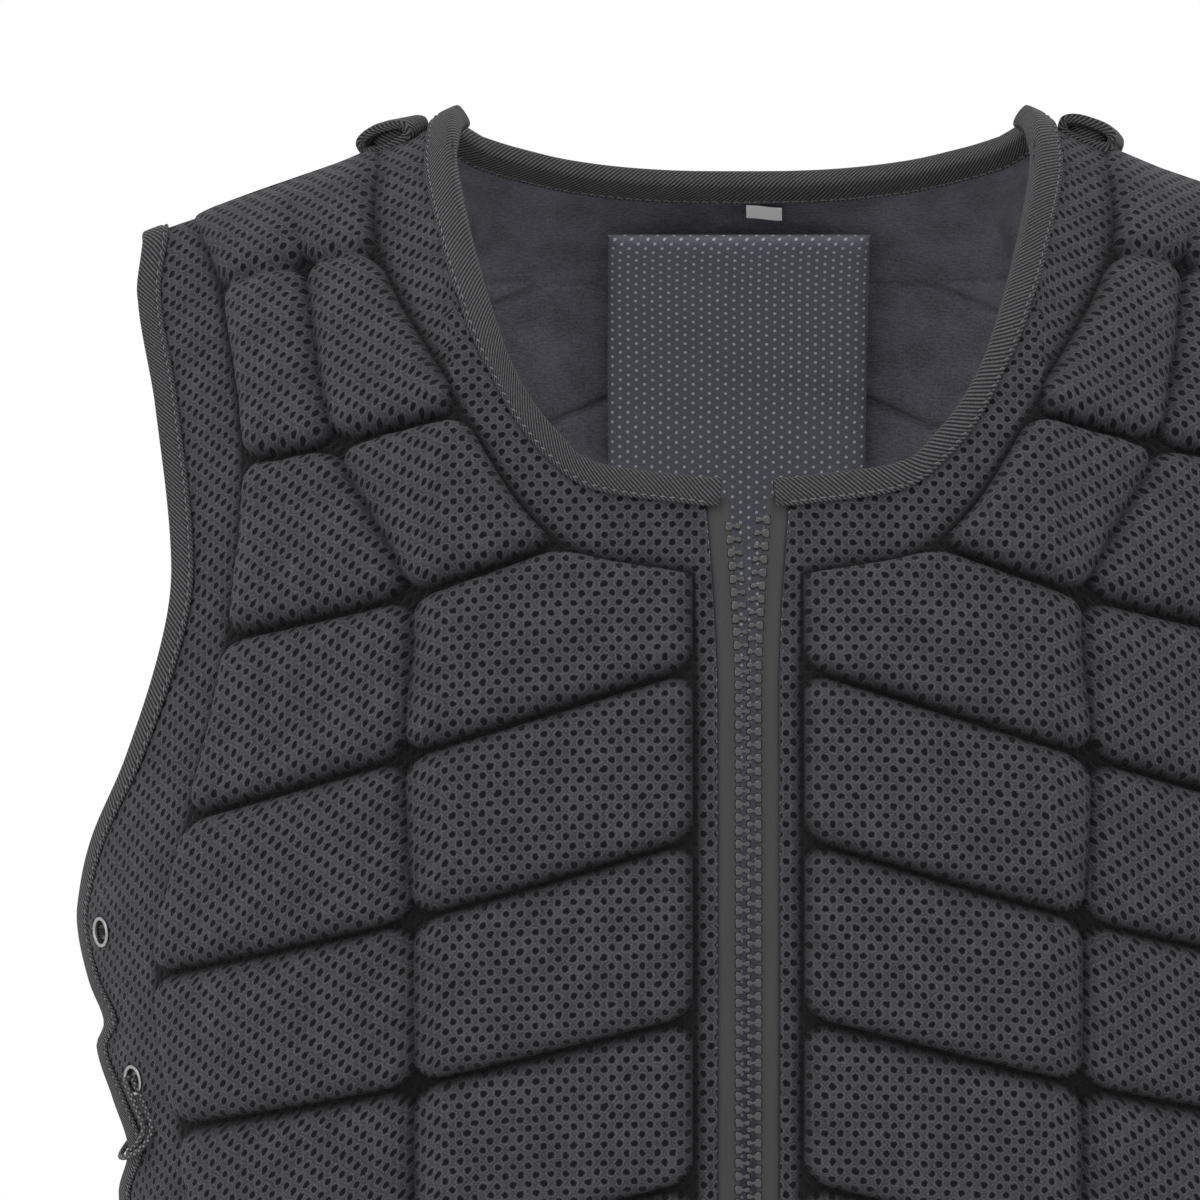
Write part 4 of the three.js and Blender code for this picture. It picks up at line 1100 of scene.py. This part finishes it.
def edge_path(surface, rows, columns, reach):
    """The middle of a panel's edge, the way inwards and the way off the panel.
    rows and columns pick the edge; reach picks the line a little further in."""
    outer, inner, normal = surface[:3]
    middle = (outer + inner) / 2
    edge = middle[rows, columns]
    inwards = unit(middle[reach] - edge)
    off = unit(normal[rows, columns] - inwards * (normal[rows, columns] * inwards).sum(-1, keepdims=True))
    return edge, inwards, off


def both_ways(path):
    """A path from one side and its mirror image, joined in the middle."""
    flip = np.array([-1, 1, 1])
    return tuple(np.concatenate([part, part[-2::-1] * flip]) for part in path)


def folded_tape(path, gap, seam=None, slant=1):
    """Carries the U section along a path. seam flattens the first end onto the shoulder seam,
    and slant is -1 where the ribs lean the other way."""
    edge, inwards, off = path
    a, b = fold_section(gap)
    travel = length_along(edge, 0)
    soft = 0.12 * waves(edge, 14, 5)[:, None, None]
    rise = b[None, :, None] * (1 + 0.04 * soft)
    rings = edge[:, None] + a[None, :, None] * inwards[:, None] + rise * off[:, None]
    if seam is not None:
        rings[0, :, 1] = seam * shoulder_gap
    around = length_along(np.stack([a, b], axis=-1), 0)
    uv = np.stack(np.broadcast_arrays(slant * travel[:, None], around[None, :]), axis=-1)
    return tube(rings, uv)


def mirror_path(path):
    """A path on the wearer's other side."""
    return tuple(part * np.array([-1, 1, 1]) for part in path)


print("the tape's legs are", tape_leg, "mm wide")

# %% [markdown]
# The tape is sewn with a straight stitch close to each leg's edge. A dotted line in the material
# would look flat beside the ribs, so each stitch is a short thread of 36 faces, thick in the
# middle and pulled down at both ends, and repeated about every three and a half millimetres.

# %% Stitches


def stitch_row(path, gap):
    """Short threads along both legs of a tape: a place and three directions for each stitch."""
    edge, inwards, off = path
    travel = length_along(edge, 0)
    at = np.arange(stitch_pitch, travel[-1] - stitch_pitch, stitch_pitch)

    def at_stitches(part):
        return np.stack([np.interp(at, travel, part[:, k]) for k in range(3)], axis=-1)

    inward, up = unit(at_stitches(inwards)), unit(at_stitches(off))
    along = unit(np.cross(up, inward))
    height = edge_thickness / 2 + gap + tape_wall - thread_sunk
    foot = at_stitches(edge) + inward * (tape_leg - stitch_inset)
    places = np.concatenate([foot + up * height, foot - up * height])
    return places, np.tile(np.stack([along, inward, up], axis=1), (2, 1, 1))


def thread_stitch():
    """One stitch: a short thread, thick in the middle and pulled down at both ends."""
    x = np.array([-1.25, -0.8, 0.0, 0.8, 1.25])
    thick = np.array([0.12, 0.26, 0.30, 0.26, 0.12])
    sink = np.array([-0.35, -0.05, 0.05, -0.05, -0.35])
    angle = np.arange(6) * np.pi / 3
    rings = np.stack(
        [
            x[:, None] + 0 * angle,
            thick[:, None] * np.cos(angle),
            sink[:, None] + thick[:, None] * np.sin(angle),
        ],
        axis=-1,
    )
    return tube(rings, rings[..., :2])


print("a stitch has", len(thread_stitch()[0]), "corners")

# %% [markdown]
# The tapes run round the neck, down each armhole and side, and along the hem. The front neck
# tape goes on past the pad's corner to the zip. The armhole tapes stop short of the hem, where
# the side edge is cut square and the hem's tape takes over.

# %% Where the tapes run
front_reach, back_reach = 4, 3
front_short, back_short = 13, 10
front_hem_reach, back_hem_reach = -11, -8
neck_row_front = int(np.argmin(np.abs(surfaces["left"][4] - (corner_line(front) - 0.5))))
tapes = []
for side in ("left", "right"):
    surface = surfaces[side]
    last = surface[0].shape[1] - 1
    rows = np.arange(neck_row_front + 1)
    edge, inwards, off = edge_path(surface, rows, 0, (rows, front_reach))
    past_zip = np.array([[-1.6, 0, 0], [-3.2, 0, 0], [-4.8, 0, 0], [-6.4, 0, 0]])
    edge = np.concatenate([edge, edge[-1] + past_zip])
    inwards, off = (
        np.concatenate([part, np.repeat(part[-1:], len(past_zip), axis=0)]) for part in (inwards, off)
    )
    tapes.append(("neck_binding_front_" + side, (edge, inwards, off), neck_gap, -1))
    rows = np.arange(surface[0].shape[0] - front_short)
    path = edge_path(surface, rows, last, (rows, last - front_reach))
    tapes.append(("armhole_binding_front_" + side, path, rim_gap, -1))
    columns_at = np.arange(last + 1)
    path = edge_path(surface, -1, columns_at, (front_hem_reach, columns_at))
    tapes.append(("hem_binding_front_" + side, path, rim_gap, None))

surface = surfaces["back"]
last = surface[0].shape[1] - 1
rows = np.arange(neck_row + 1)
path = both_ways(edge_path(surface, rows, 0, (rows, back_reach)))
tapes.append(("neck_binding_back", path, neck_gap, None))
rows = np.arange(surface[0].shape[0] - back_short)
for side in ("left", "right"):
    path = edge_path(surface, rows, last, (rows, last - back_reach))
    tapes.append(("armhole_binding_back_" + side, path, rim_gap, 1))
columns_at = np.arange(last, -1, -1)
path = both_ways(edge_path(surface, -1, columns_at, (back_hem_reach, columns_at)))
tapes.append(("hem_binding_back", path, rim_gap, None))
print(len(tapes), "tapes of", [round(length_along(path[0], 0)[-1]) for _, path, _, _ in tapes], "mm")

# %% [markdown]
# Now the tapes are made and sewn. On the right side the path is turned over, which would turn
# the ribs of the twill over too. Real tapes come off one roll, so the lean is turned back there.
# All the stitches together are one piece, because none of them moves alone.

# %% Tapes and their stitches

stitch = thread_stitch()
sewn = []
for name, path, gap, seam in tapes:
    slant = 1
    if name.endswith("_right"):
        path, slant = mirror_path(path), -1
    body = folded_tape(path, gap, seam, slant)
    put(name + "_tape", body, cloth["twill_binding"], [name])
    sewn.append(copies(stitch, *stitch_row(path, gap)))
put("binding_stitches", together(*sewn), cloth["binding_thread"])

# %% [markdown]
# ## Zip
# A moulded zip closes the front. Each tooth has a wide foot on the tape and a narrow head that
# reaches for the gap on the other side. The two rows part a little towards the neck, because
# the top of a worn vest pulls them open. A tooth is drawn once as an outline with six layers,
# the upper ones smaller, so that its edge is round and catches the light.

# %% One tooth
tooth_pitch, tape_rise, tooth_lift = 4.6, 0.6, 0.2
zip_top, zip_foot = front_neck_drop + 11.0, vest_length - 1.0
slider_length, box_length, slider_depth = 12.0, 7.0, 7.0
zip_level = -(groove_depth + edge_thickness / 2)
teeth_foot = zip_foot - box_length - slider_length - 0.6


def zip_shift(drop):
    """How far one row has moved off the middle."""
    return zip_x(drop) - zip_edge


def tooth():
    """A tooth seen from in front: wide foot, narrow neck, round head, with a bevelled face."""
    outline = np.array([
        [4.7, -1.45], [4.7, 1.45], [4.3, 1.65], [2.9, 1.65], [2.4, 1.2], [2.1, 0.62], [0.9, 0.62],
        [0.5, 0.98], [-0.45, 0.98], [-0.8, 0.5], [-0.8, -0.5], [-0.45, -0.98], [0.5, -0.98],
        [0.9, -0.62], [2.1, -0.62], [2.4, -1.2], [2.9, -1.65], [4.3, -1.65],
    ])
    middle = outline.mean(axis=0)
    layers = [(1.0, -1.6), (1.0, 0.9), (0.95, 1.25), (0.84, 1.5), (0.62, 1.65), (0.30, 1.7)]
    rings = np.stack([
        np.column_stack([middle + (outline - middle) * share, np.full(len(outline), height)])
        for share, height in layers
    ])
    return tube(rings, rings[..., :2])


print("a tooth has", len(tooth()[0]), "corners")

# %% [markdown]
# The teeth stand at an even pitch, and one row is half a pitch lower than the other, so that
# they can mesh. An Array modifier on a curve would do for a straight zip, but these rows bend
# with the chest and part at the top, so each tooth gets its place and its three directions.
# The tape under them is a thin slab with a cord along its edge.

# %% Rows of teeth and their tapes
tape_profile = table(
    "x rise",
    (2.6, -0.2), (3.0, 0.25), (4.8, 0.3), (5.4, 0.0), (7.5, 0.05), (9.5, 0.0), (10.4, -0.1), (10.7, -0.4),
)
for side, sign in (("left", 1), ("right", -1)):
    start = zip_top + 2.0 + (tooth_pitch / 2 if sign < 0 else 0.0)
    drops = np.arange(start, teeth_foot - 1.0, tooth_pitch)
    feet, off = skin_frame(0 * drops, drops, -1)
    down = unit(np.gradient(feet, axis=0))
    across = np.tile([float(sign), 0.0, 0.0], (len(drops), 1))
    frames = np.stack([across, down, off], axis=1)
    places = feet + off * (zip_level + tooth_lift) + across * zip_shift(drops)[:, None]
    name = "zip_teeth_" + side
    row = copies(tooth(), places, frames)
    put(name + "_row", row, cloth["moulded_plastic"], [name], 0.9)

    drops = np.linspace(zip_top - 6.0, zip_foot, 220)[:, None]
    x = tape_profile["x"][None, :] + zip_shift(drops)
    rise = tape_profile["rise"][None, :] + 0.08 * np.sin(drops / 7.0)
    top = lifted(x, drops, -1, zip_level + tape_rise + rise)
    under = lifted(x, drops, -1, zip_level - tape_rise)
    uv = np.stack(np.broadcast_arrays(x, drops), axis=-1)
    body = slab(top, under, uv)
    name = "zip_tape_" + side
    put(name + "_cloth", body if sign > 0 else mirrored(body), cloth["zip_tape"], [name])
print("teeth stand", tooth_pitch, "mm apart")

# %% [markdown]
# Small hard parts have no sharp edge anywhere. A cube with a Bevel modifier is the usual way,
# and a superellipsoid is a shorter one: a sphere whose sines and cosines are raised to a small
# power, which squares it up and leaves the edges round. Rings are an ellipse carried round a path.

# %% Pebbles and hoops


def pebble(size, power=5.0, rings=14, sides=28):
    """A closed block with rounded edges: a superellipsoid of the given size."""
    rise = np.linspace(-np.pi / 2, np.pi / 2, rings)[1:-1]
    turn = np.arange(sides) * 2 * np.pi / sides
    flat = signed_power(np.cos(rise), 2 / power)[:, None]
    x = flat * signed_power(np.cos(turn), 2 / power)
    y = flat * signed_power(np.sin(turn), 2 / power)
    z = signed_power(np.sin(rise), 2 / power)[:, None] + 0 * turn
    grid = np.stack([x, y, z], axis=-1) * np.array(size) / 2
    return tube(grid, grid[..., [0, 2]])


def placed(body, place, frame_rows=np.eye(3)):
    """A body moved to a place, its own directions turned to the rows of the frame."""
    points, faces, uv = body
    return points @ np.asarray(frame_rows) + np.asarray(place), faces, uv


def hoop(half_width, half_height, section, rounds=40):
    """A closed ring along a rounded rectangle, with an elliptical section (wide, thick)."""
    turn = np.arange(rounds + 1) * 2 * np.pi / rounds
    x = signed_power(np.cos(turn), 0.6) * half_width
    z = signed_power(np.sin(turn), 0.6) * half_height
    path = np.stack([x, 0 * turn, z], axis=-1)
    return ring_body(path, section, np.array([0.0, 1.0, 0.0]))


def ring_body(path, section, axis, sides=12):
    """Carries an ellipse round a closed path that turns about an axis."""
    ahead = unit(np.roll(path[:-1], -1, axis=0) - np.roll(path[:-1], 1, axis=0))
    out = unit(np.cross(ahead, axis))
    angle = np.arange(sides) * 2 * np.pi / sides
    rings = path[:-1, None] + section[0] * np.cos(angle)[:, None] * out[:, None]
    rings = rings + section[1] * np.sin(angle)[:, None] * np.asarray(axis)
    travel = length_along(path, 0)[:-1]
    uv = np.stack(np.broadcast_arrays(travel[:, None], angle[None, :] * sum(section) / 2), axis=-1)
    return rings.reshape(-1, 3), ring_faces(len(rings), sides), uv.reshape(-1, 2)


print("a pebble has", len(pebble((1, 1, 1))[0]), "corners and a hoop", len(hoop(1, 1, (0.1, 0.1))[0]))

# %% [markdown]
# No slider is to be seen near the neck, so it waits at the foot of the zip: two shields joined
# by a post, with the teeth between them and a bridge for the pull in front. A box below takes
# the last teeth. Each is a few pebbles and hoops put together, since nobody sees where they meet.

# %% Slider, pull and box
slider_drop = teeth_foot + 0.3 + slider_length / 2
seat, off = skin_frame(np.array(0.0), np.array(slider_drop), -1)
seat = seat + off * zip_level
out_y = seat[1] - slider_depth / 2
shield = pebble((9.2, 1.7, slider_length), 4.0)
post = pebble((3.0, 5.0, 3.6), 3.0)
bridge, upright = hoop(2.4, 1.6, (0.7, 0.9), 24), [(0, 0, 1), (1, 0, 0), (0, 1, 0)]
slider = together(
    placed(shield, seat + (0, -2.5, 0)),
    placed(shield, seat + (0, 2.5, 0)),
    placed(post, seat + (0, 0, 3.6)),
    placed(bridge, (0, out_y + 0.4, seat[2] + 2.2), upright),
)
put("zip_slider_body", slider, cloth["moulded_plastic"], ["zip_slider"])
pull_y, pull_top = out_y - 1.1, seat[2] + slider_length / 2
pull = together(
    placed(hoop(2.5, 2.6, (0.55, 0.75), 32), (0, pull_y, pull_top - 3.2)),
    placed(pebble((5.8, 1.5, 19.5), 6.0), (0, pull_y, pull_top - 15.6)),
    placed(pebble((3.6, 1.9, 13.0), 4.0), (0, pull_y, pull_top - 16.4)),
)
put("zip_pull_tab", pull, cloth["nickel"], ["zip_pull"])
box_z = seat[2] - (slider_length + box_length) / 2 - 0.3
box_body = together(
    placed(pebble((9.4, 3.2, box_length), 6.0), (0, seat[1], box_z)),
    placed(pebble((5.0, 3.8, 2.2), 4.0), (0, seat[1], box_z + 1.2)),
)
put("zip_box_body", box_body, cloth["moulded_plastic"], ["zip_box"])

# %% [markdown]
# ## Eyelets and side laces
# A vest is fitted to its wearer at the sides, where a pair of thin braided cords zigzags
# through plated eyelets. An eyelet is a rolled ring of metal with a short barrel through the
# cloth. It sits a true distance in from the edge, measured in space and not only across, so
# that the row follows the notches.

# %% An eyelet and its place
eyelet_inset, eyelet_pitch, first_eyelet, eyelet_count = 23.5, 52.0, 286.0, 5
eyelet_radius, eyelet_bore, free_pairs = 5.5, 4.1, 1
eyelet_drops = first_eyelet + eyelet_pitch * np.arange(eyelet_count)


def eyelet_x(drop, face):
    """The place a true distance in from the rim, at the same drop."""
    xs = rim_x(drop) - np.linspace(0, 40, 300)
    points = lifted(xs, drop, face, 0.0)
    return np.interp(eyelet_inset, np.linalg.norm(points - points[0], axis=-1), xs)


eyelet_xs = {face: np.array([eyelet_x(drop, face) for drop in eyelet_drops]) for face in (-1, 1)}
turn = np.linspace(0, 2 * np.pi, 25)
circle = np.stack([np.cos(turn), np.sin(turn), 0 * turn], axis=-1)
middle_radius = (eyelet_radius + eyelet_bore) / 2
flange = ring_body(circle * middle_radius, (eyelet_radius - middle_radius, 0.62), np.array([0.0, 0.0, 1.0]))
barrel = ring_body(circle * (eyelet_bore + 0.1), (0.25, 3.0), np.array([0.0, 0.0, 1.0]))


print("eyelets at drops", eyelet_drops)

# %% [markdown]
# A painted black disc would do from afar, but the eyelets are open and one can see through the
# top ones. So the pads and their linings are pierced with a Boolean modifier, which cuts clean
# round holes in dense cloth, and the result becomes the mesh. That leaves no live modifier.

# %% Holes and rings
hole_sides, hole_reach = 20, 12


def pierce(thing, places, frames):
    """Cuts round holes through a piece, one at each place."""
    angle = np.arange(hole_sides) * 2 * np.pi / hole_sides
    ring = np.stack([np.cos(angle), np.sin(angle), 0 * angle], axis=-1) * (eyelet_bore - 0.1)
    rings = np.stack([ring - (0, 0, hole_reach), ring + (0, 0, hole_reach)])
    points, groups = copies(tube(rings, rings[..., :2]), places, frames)[:2]
    mesh = bpy.data.meshes.new("cutter")
    mesh.from_pydata((points / mm_in_metre).tolist(), [], [face for g in groups for face in g.tolist()])
    cutter = bpy.data.objects.new("cutter", mesh)
    scene.collection.objects.link(cutter)
    cut = thing.modifiers.new("holes", "BOOLEAN")
    cut.operation, cut.solver, cut.object = "DIFFERENCE", "MANIFOLD", cutter
    graph = bpy.context.evaluated_depsgraph_get()
    pierced = bpy.data.meshes.new_from_object(thing.evaluated_get(graph))
    thing.modifiers.clear()
    print(thing.name, "pierced:", len(thing.data.polygons), "->", len(pierced.polygons), "faces")
    thing.data = pierced
    bpy.data.objects.remove(cutter)


holes = {}
for face, part in ((-1, "front"), (1, "back")):
    xs = eyelet_xs[face]
    base, off = skin_frame(xs, eyelet_drops, face)
    side_way = unit(np.cross(np.array([0.0, 0.0, 1.0]), off))
    frames = np.stack([side_way, np.cross(off, side_way), off], axis=1)
    for side, sign in (("left", 1), ("right", -1)):
        flip = np.array([sign, 1, 1])
        holes[part, side] = (base - off * (groove_depth + edge_thickness / 2)) * flip, frames * flip
        for k in range(eyelet_count):
            place = (base[k] - off[k] * (groove_depth - 0.45)) * flip
            sunk = (base[k] - off[k] * (groove_depth + 2.4)) * flip
            ring = together(placed(flange, place, frames[k] * flip), placed(barrel, sunk, frames[k] * flip))
            name = "eyelet_{}_{}_{}".format(part, side, k + 1)
            put(name + "_ring", ring, cloth["nickel"], [name])
for side in ("left", "right"):
    for layer in ("_cloth", "_lining"):
        pierce(bpy.data.objects["front_panel_" + side + layer], *holes["front", side])
for layer in ("_cloth", "_lining"):
    both = [np.concatenate(pair) for pair in zip(holes["back", "left"], holes["back", "right"])]
    pierce(bpy.data.objects["back_panel" + layer], *both)

# %% [markdown]
# The doubled lace goes through an eyelet from inside, over both edges, and in again at the next
# one down. It could be a Bezier curve with many handles, but a route written as places on the
# skin keeps its knots on the cloth when a size changes. The top pair of eyelets is left free.
# The eyelets hold the cord all the way, so it isn't let down by simulation.

# %% Route of the lace
cord_radius, cord_apart, cord_step = 1.0, 1.5, 0.8
lace_in, bore_level, bore_lift, knot_lift = -15.5, -10.5, 0.4, 5.0
strip_height = -groove_depth + 0.3
on_strip, on_tape = strip_height + 1.1, strip_height + 3.2
over_rim = (
    (0.14, 1.00, on_strip), (0.32, 0.92, on_strip), (0.44, 0.55, on_tape), (0.50, 0.05, on_tape),
)


def lace_route():
    """From a knot behind, inside to each front eyelet, outside over both rims to the next back one."""

    def at(k, face, height):
        return lifted(eyelet_xs[face][k], eyelet_drops[k], face, height)

    def beside(k, way, share, face, height):
        drop = eyelet_drops[k] + way * eyelet_pitch
        inset = share * (rim_x(eyelet_drops[k]) - eyelet_xs[face][k])
        return lifted(rim_x(drop) - inset, drop, face, height)

    route = [at(free_pairs, 1, strip_height + knot_lift), at(free_pairs, 1, lace_in)]
    for k in range(free_pairs, eyelet_count):
        route += [(at(k, -1, lace_in) + at(k, 1, lace_in)) / 2, at(k, -1, lace_in), at(k, -1, bore_level)]
        if k == eyelet_count - 1:
            break
        route.append(at(k, -1, on_strip + bore_lift))
        route += [beside(k, way, share, -1, height) for way, share, height in over_rim]
        route += [beside(k, 1 - way, share, 1, height) for way, share, height in over_rim[::-1]]
        route += [at(k + 1, 1, height) for height in (on_strip + bore_lift, bore_level, lace_in)]
    return np.array(route + [at(eyelet_count - 1, -1, strip_height + knot_lift)])


print("the route has", len(lace_route()), "places")

# %% [markdown]
# A braided cord shows its strands as low bumps that cross both ways. The path is smoothed first,
# then a ring of corners is carried along it without twisting, and the radius rises a little
# where a strand passes over. A cord with a smooth skin and a braid in the material alone would
# look like wire in the light of the studio.

# %% A braided cord


def smooth_path(points, step, rounding=0.6):
    """A curve through the points, cubic between neighbours, cut into even steps."""
    key = np.insert(np.cumsum(np.linalg.norm(np.diff(points, axis=0), axis=-1) ** rounding), 0, 0)
    fine = np.linspace(0, key[-1], 40 * len(points))
    curve = np.stack([follow(key, points[:, k], fine) for k in range(3)], axis=-1)
    travel = length_along(curve, 0)
    at = np.linspace(0, travel[-1], int(travel[-1] / step) + 1)
    return np.stack([np.interp(at, travel, curve[:, k]) for k in range(3)], axis=-1)


def cord_rings(path, radius, sides=8):
    """A braided cord: three strands cross both ways, so the radius rises where they pass over."""
    ahead = unit(np.gradient(path, axis=0))
    side = np.zeros_like(path)
    side[0] = unit(np.cross(ahead[0], (0.3, 0.5, 0.8)))
    for i in range(1, len(path)):
        side[i] = unit(side[i - 1] - ahead[i] * (side[i - 1] @ ahead[i]))
    up = np.cross(ahead, side)
    travel = length_along(path, 0)[:, None]
    angle = np.arange(sides) * 2 * np.pi / sides
    over = np.maximum(np.sin(3 * angle + travel * 2.6), np.sin(3 * angle - travel * 2.6))
    thick = (radius * (0.94 + 0.09 * over))[..., None]
    around = np.cos(angle)[:, None] * side[:, None] + np.sin(angle)[:, None] * up[:, None]
    rings = path[:, None] + thick * around
    uv = np.stack(np.broadcast_arrays(travel, angle * radius), axis=-1)
    return tube(rings, uv)


print("a cord is", 2 * cord_radius, "mm thick")

# %% [markdown]
# Two cords lie side by side along the route, and each end of the pair is held by a knot on the
# outside of its last eyelet. A real knot is hard to tie in code. A trefoil has the same look of
# one strand going over and under itself, and a few sines and cosines draw it.

# %% Laces and knots
centre_line = smooth_path(lace_route(), cord_step)
ahead = unit(np.gradient(centre_line, axis=0))
lean = unit(np.cross(ahead, centre_line - centre_line.mean(axis=0) * (1, 0, 1)))
lean = unit(sum(np.roll(lean, k, axis=0) for k in range(-8, 9)))
knot_turn = np.linspace(0.2, 2 * np.pi - 0.2, 90)
trefoil = np.stack([
    np.sin(knot_turn) + 2 * np.sin(2 * knot_turn),
    np.cos(knot_turn) - 2 * np.cos(2 * knot_turn),
    -np.sin(3 * knot_turn) * 1.2,
], axis=-1) * 0.95
lace = [cord_rings(centre_line + lean * cord_apart * way, cord_radius) for way in (1, -1)]
lace += [cord_rings(trefoil + end, 1.15) for end in centre_line[[0, -1]]]
lace = together(*lace)
put("side_lace_left_cord", lace, cloth["lace_cord"], ["side_lace_left"])
put("side_lace_right_cord", mirrored(lace), cloth["lace_cord"], ["side_lace_right"])
print("lace length", round(length_along(centre_line, 0)[-1]), "mm a side")

# %% [markdown]
# ## Spine pad, tag and shoulder loops
# A long firm pad lies against the lining of the back and covers the spine. Scaling a cube and
# bending it with a lattice would come close, but the pad has to keep an even gap to a lining
# that curves both ways. So its middle is the back's skin moved inwards, its edges are two high
# powers that make it a thick slab with round borders, and its top leans away from the neck.

# %% Spine pad
spine_half_width, spine_top, spine_length, spine_thickness, spine_gap = 49.0, 24.0, 473.0, 11.0, 2.4
spine_top_lift, spine_lift_share, spine_lean_drop = 6.0, 0.14, 75.0
across = np.sin(np.linspace(-1, 1, 71) * np.pi / 2)[None, :]
down = (np.sin(np.linspace(-1, 1, 241) * np.pi / 2)[:, None] + 1) / 2
x, drop = across * spine_half_width + 0 * down, spine_top + down * spine_length + 0 * across
edge_share = ((1 - np.abs(across) ** 14) * (1 - np.abs(2 * down - 1) ** 90)) ** 0.5
normal = skin_frame(x, np.maximum(drop, spine_lean_drop), 1)[1]
rest = pad_thickness + spine_gap + spine_top_lift * np.maximum(1 - down / spine_lift_share, 0) + 0 * x
base = skin_frame(x, drop, 1)[0] - normal * rest[..., None]
half = spine_thickness / 2
puff = 0.5 * waves(base, 60, 9) + 0.3 * waves(base, 22, 10)
front_side = base - normal * (half + (half - 1.2 + 0.5 * puff) * edge_share)[..., None]
back_side = base - normal * (half - half * edge_share)[..., None]
uv = np.stack([length_along(front_side, 1), length_along(front_side, 0)], axis=-1)
pad = slab(back_side, front_side, uv)
put("spine_pad_cloth", pad, cloth["spine_fabric"], ["spine_pad"], 1.2)

print("the pad is", 2 * spine_half_width, "by", spine_length, "mm")

# %% [markdown]
# A satin tag is sewn in under the tape of the back neck and hangs a little askew. It is a thin
# slab with a soft curl. The real one carries its size, and this one is left bare. Cloth
# simulation would be far too much for a piece 6 mm tall.

# %% Tag
label_width, label_height, label_offset, label_tilt = 13.0, 6.0, 9.0, 0.2
inner = surfaces["back"][1]
top, strip_end = inner[neck_row, 0] * (0, 1, 1), inner[neck_row, 3] * (0, 1, 1)
hang = unit(strip_end - top)
away = np.array([0, hang[2], -hang[1]])
share, fall = np.linspace(-0.5, 0.5, 21)[None, :], np.linspace(0, 1, 11)[:, None]
height = (tape_leg + 0.9 + (fall + share * label_tilt) * label_height)[..., None]
curl = (1.5 + 0.5 * fall**2 + 0.25 * np.sin(share * 5))[..., None]
tag = top + hang * height + away * curl
tag[..., 0] = label_offset + share * label_width + 0.15 * fall
uv = np.stack(np.broadcast_arrays(share * label_width, fall * label_height), axis=-1)
put("size_label_tag", slab(tag + away * 0.35, tag, uv), cloth["label"], ["size_label"])

print("the tag hangs", round(float(-tag[..., 2].min()), 1), "mm below the shoulder's level")

# %% [markdown]
# On top of each shoulder a thick band of webbing is folded over and sewn down as a low loop. Its
# outline from the side is an oval with a flat foot, fuller at its outer end. The band's cross
# section is carried round that oval, and a pebble inside it stands for the end that is tucked in.

# %% One loop of webbing
loop_width, loop_height, loop_length, loop_wall, loop_offset = 23.0, 11.5, 17.0, 3.8, 18.0
band_section = table(
    "along across",
    (-1, 0), (-0.94, 0.8), (-0.6, 1), (0, 1.06), (0.6, 1), (0.94, 0.8),
    (1, 0), (0.94, -0.8), (0.6, -1), (0, -1), (-0.6, -1), (-0.94, -0.8),
)


def webbing_loop(seed, outwards):
    """A thick band of webbing folded into a low arch: an oval, fuller at its outer end and wide
    along y, with the band's other end tucked inside it."""
    turn = np.linspace(0, 2 * np.pi, 73)
    half_w, half_h = (loop_width - loop_wall) / 2, (loop_height - loop_wall) / 2
    x = half_w * signed_power(np.cos(turn), 0.8)
    fuller = 0.80 + 0.20 * x / half_w
    rise = np.sin(turn)
    oval = np.where(rise > 0, fuller * np.abs(rise) ** 0.8, -np.abs(rise) ** 0.45)
    z = half_h * oval + half_h + loop_wall / 2
    path = np.stack([x, 0 * turn, z], axis=-1)
    ahead = unit(np.roll(path[:-1], -1, axis=0) - np.roll(path[:-1], 1, axis=0))
    out = np.cross(ahead, (0.0, 1.0, 0.0))
    a = band_section["along"] * loop_length / 2
    b = band_section["across"] * loop_wall / 2
    rings = path[:-1, None] + out[:, None] * b[:, None]
    rings[..., 1] += a
    rings += (0.35 * waves(rings, 13, seed))[..., None] * out[:, None]
    uv = np.stack(np.broadcast_arrays(length_along(path, 0)[:-1, None], a + b), axis=-1)
    band = rings.reshape(-1, 3), ring_faces(*rings.shape[:2])[:, ::-1], uv.reshape(-1, 2)
    tucked_size = (loop_width - 7, loop_length - 4, loop_height - loop_wall - 1.6)
    loop = together(band, placed(pebble(tucked_size, 3.0), (-0.5, 1.2, half_h + 0.9)))
    return mirrored(loop) if outwards < 0 else loop


print("a loop has", len(webbing_loop(1, 1)[0]), "corners")

# %% [markdown]
# Each loop is leaned with the slope of the shoulder and turned a little, each by its own angle,
# because they are sewn on by hand. Its seat is sunk into the soft pad as a sewn band pulls the
# cloth down round it.

# %% Shoulder loops
loop_steeper, loop_sunk = 0.06, 5.0
loop_x = neck_half_width + loop_offset
loop_lean = np.arctan(shoulder_slope + loop_steeper)
cos, sin = np.cos(loop_lean), np.sin(loop_lean)
for side, sign, seed, twist in (("left", 1, 31, -0.25), ("right", -1, 32, -0.45)):
    place = (sign * loop_x, 0, pad_thickness - shoulder_drop(loop_x) - loop_sunk)
    seat_rows = np.array([(cos, 0, -sign * sin), (0, 1, 0), (sign * sin, 0, cos)])
    turned = np.array([(np.cos(twist), np.sin(twist), 0), (-np.sin(twist), np.cos(twist), 0), (0, 0, 1)])
    frame_rows = turned @ seat_rows
    body = placed(webbing_loop(seed, sign), place, frame_rows)
    name = "shoulder_loop_" + side
    put(name + "_webbing", body, cloth["twill_binding"], [name])

# %% [markdown]
# ## Finish
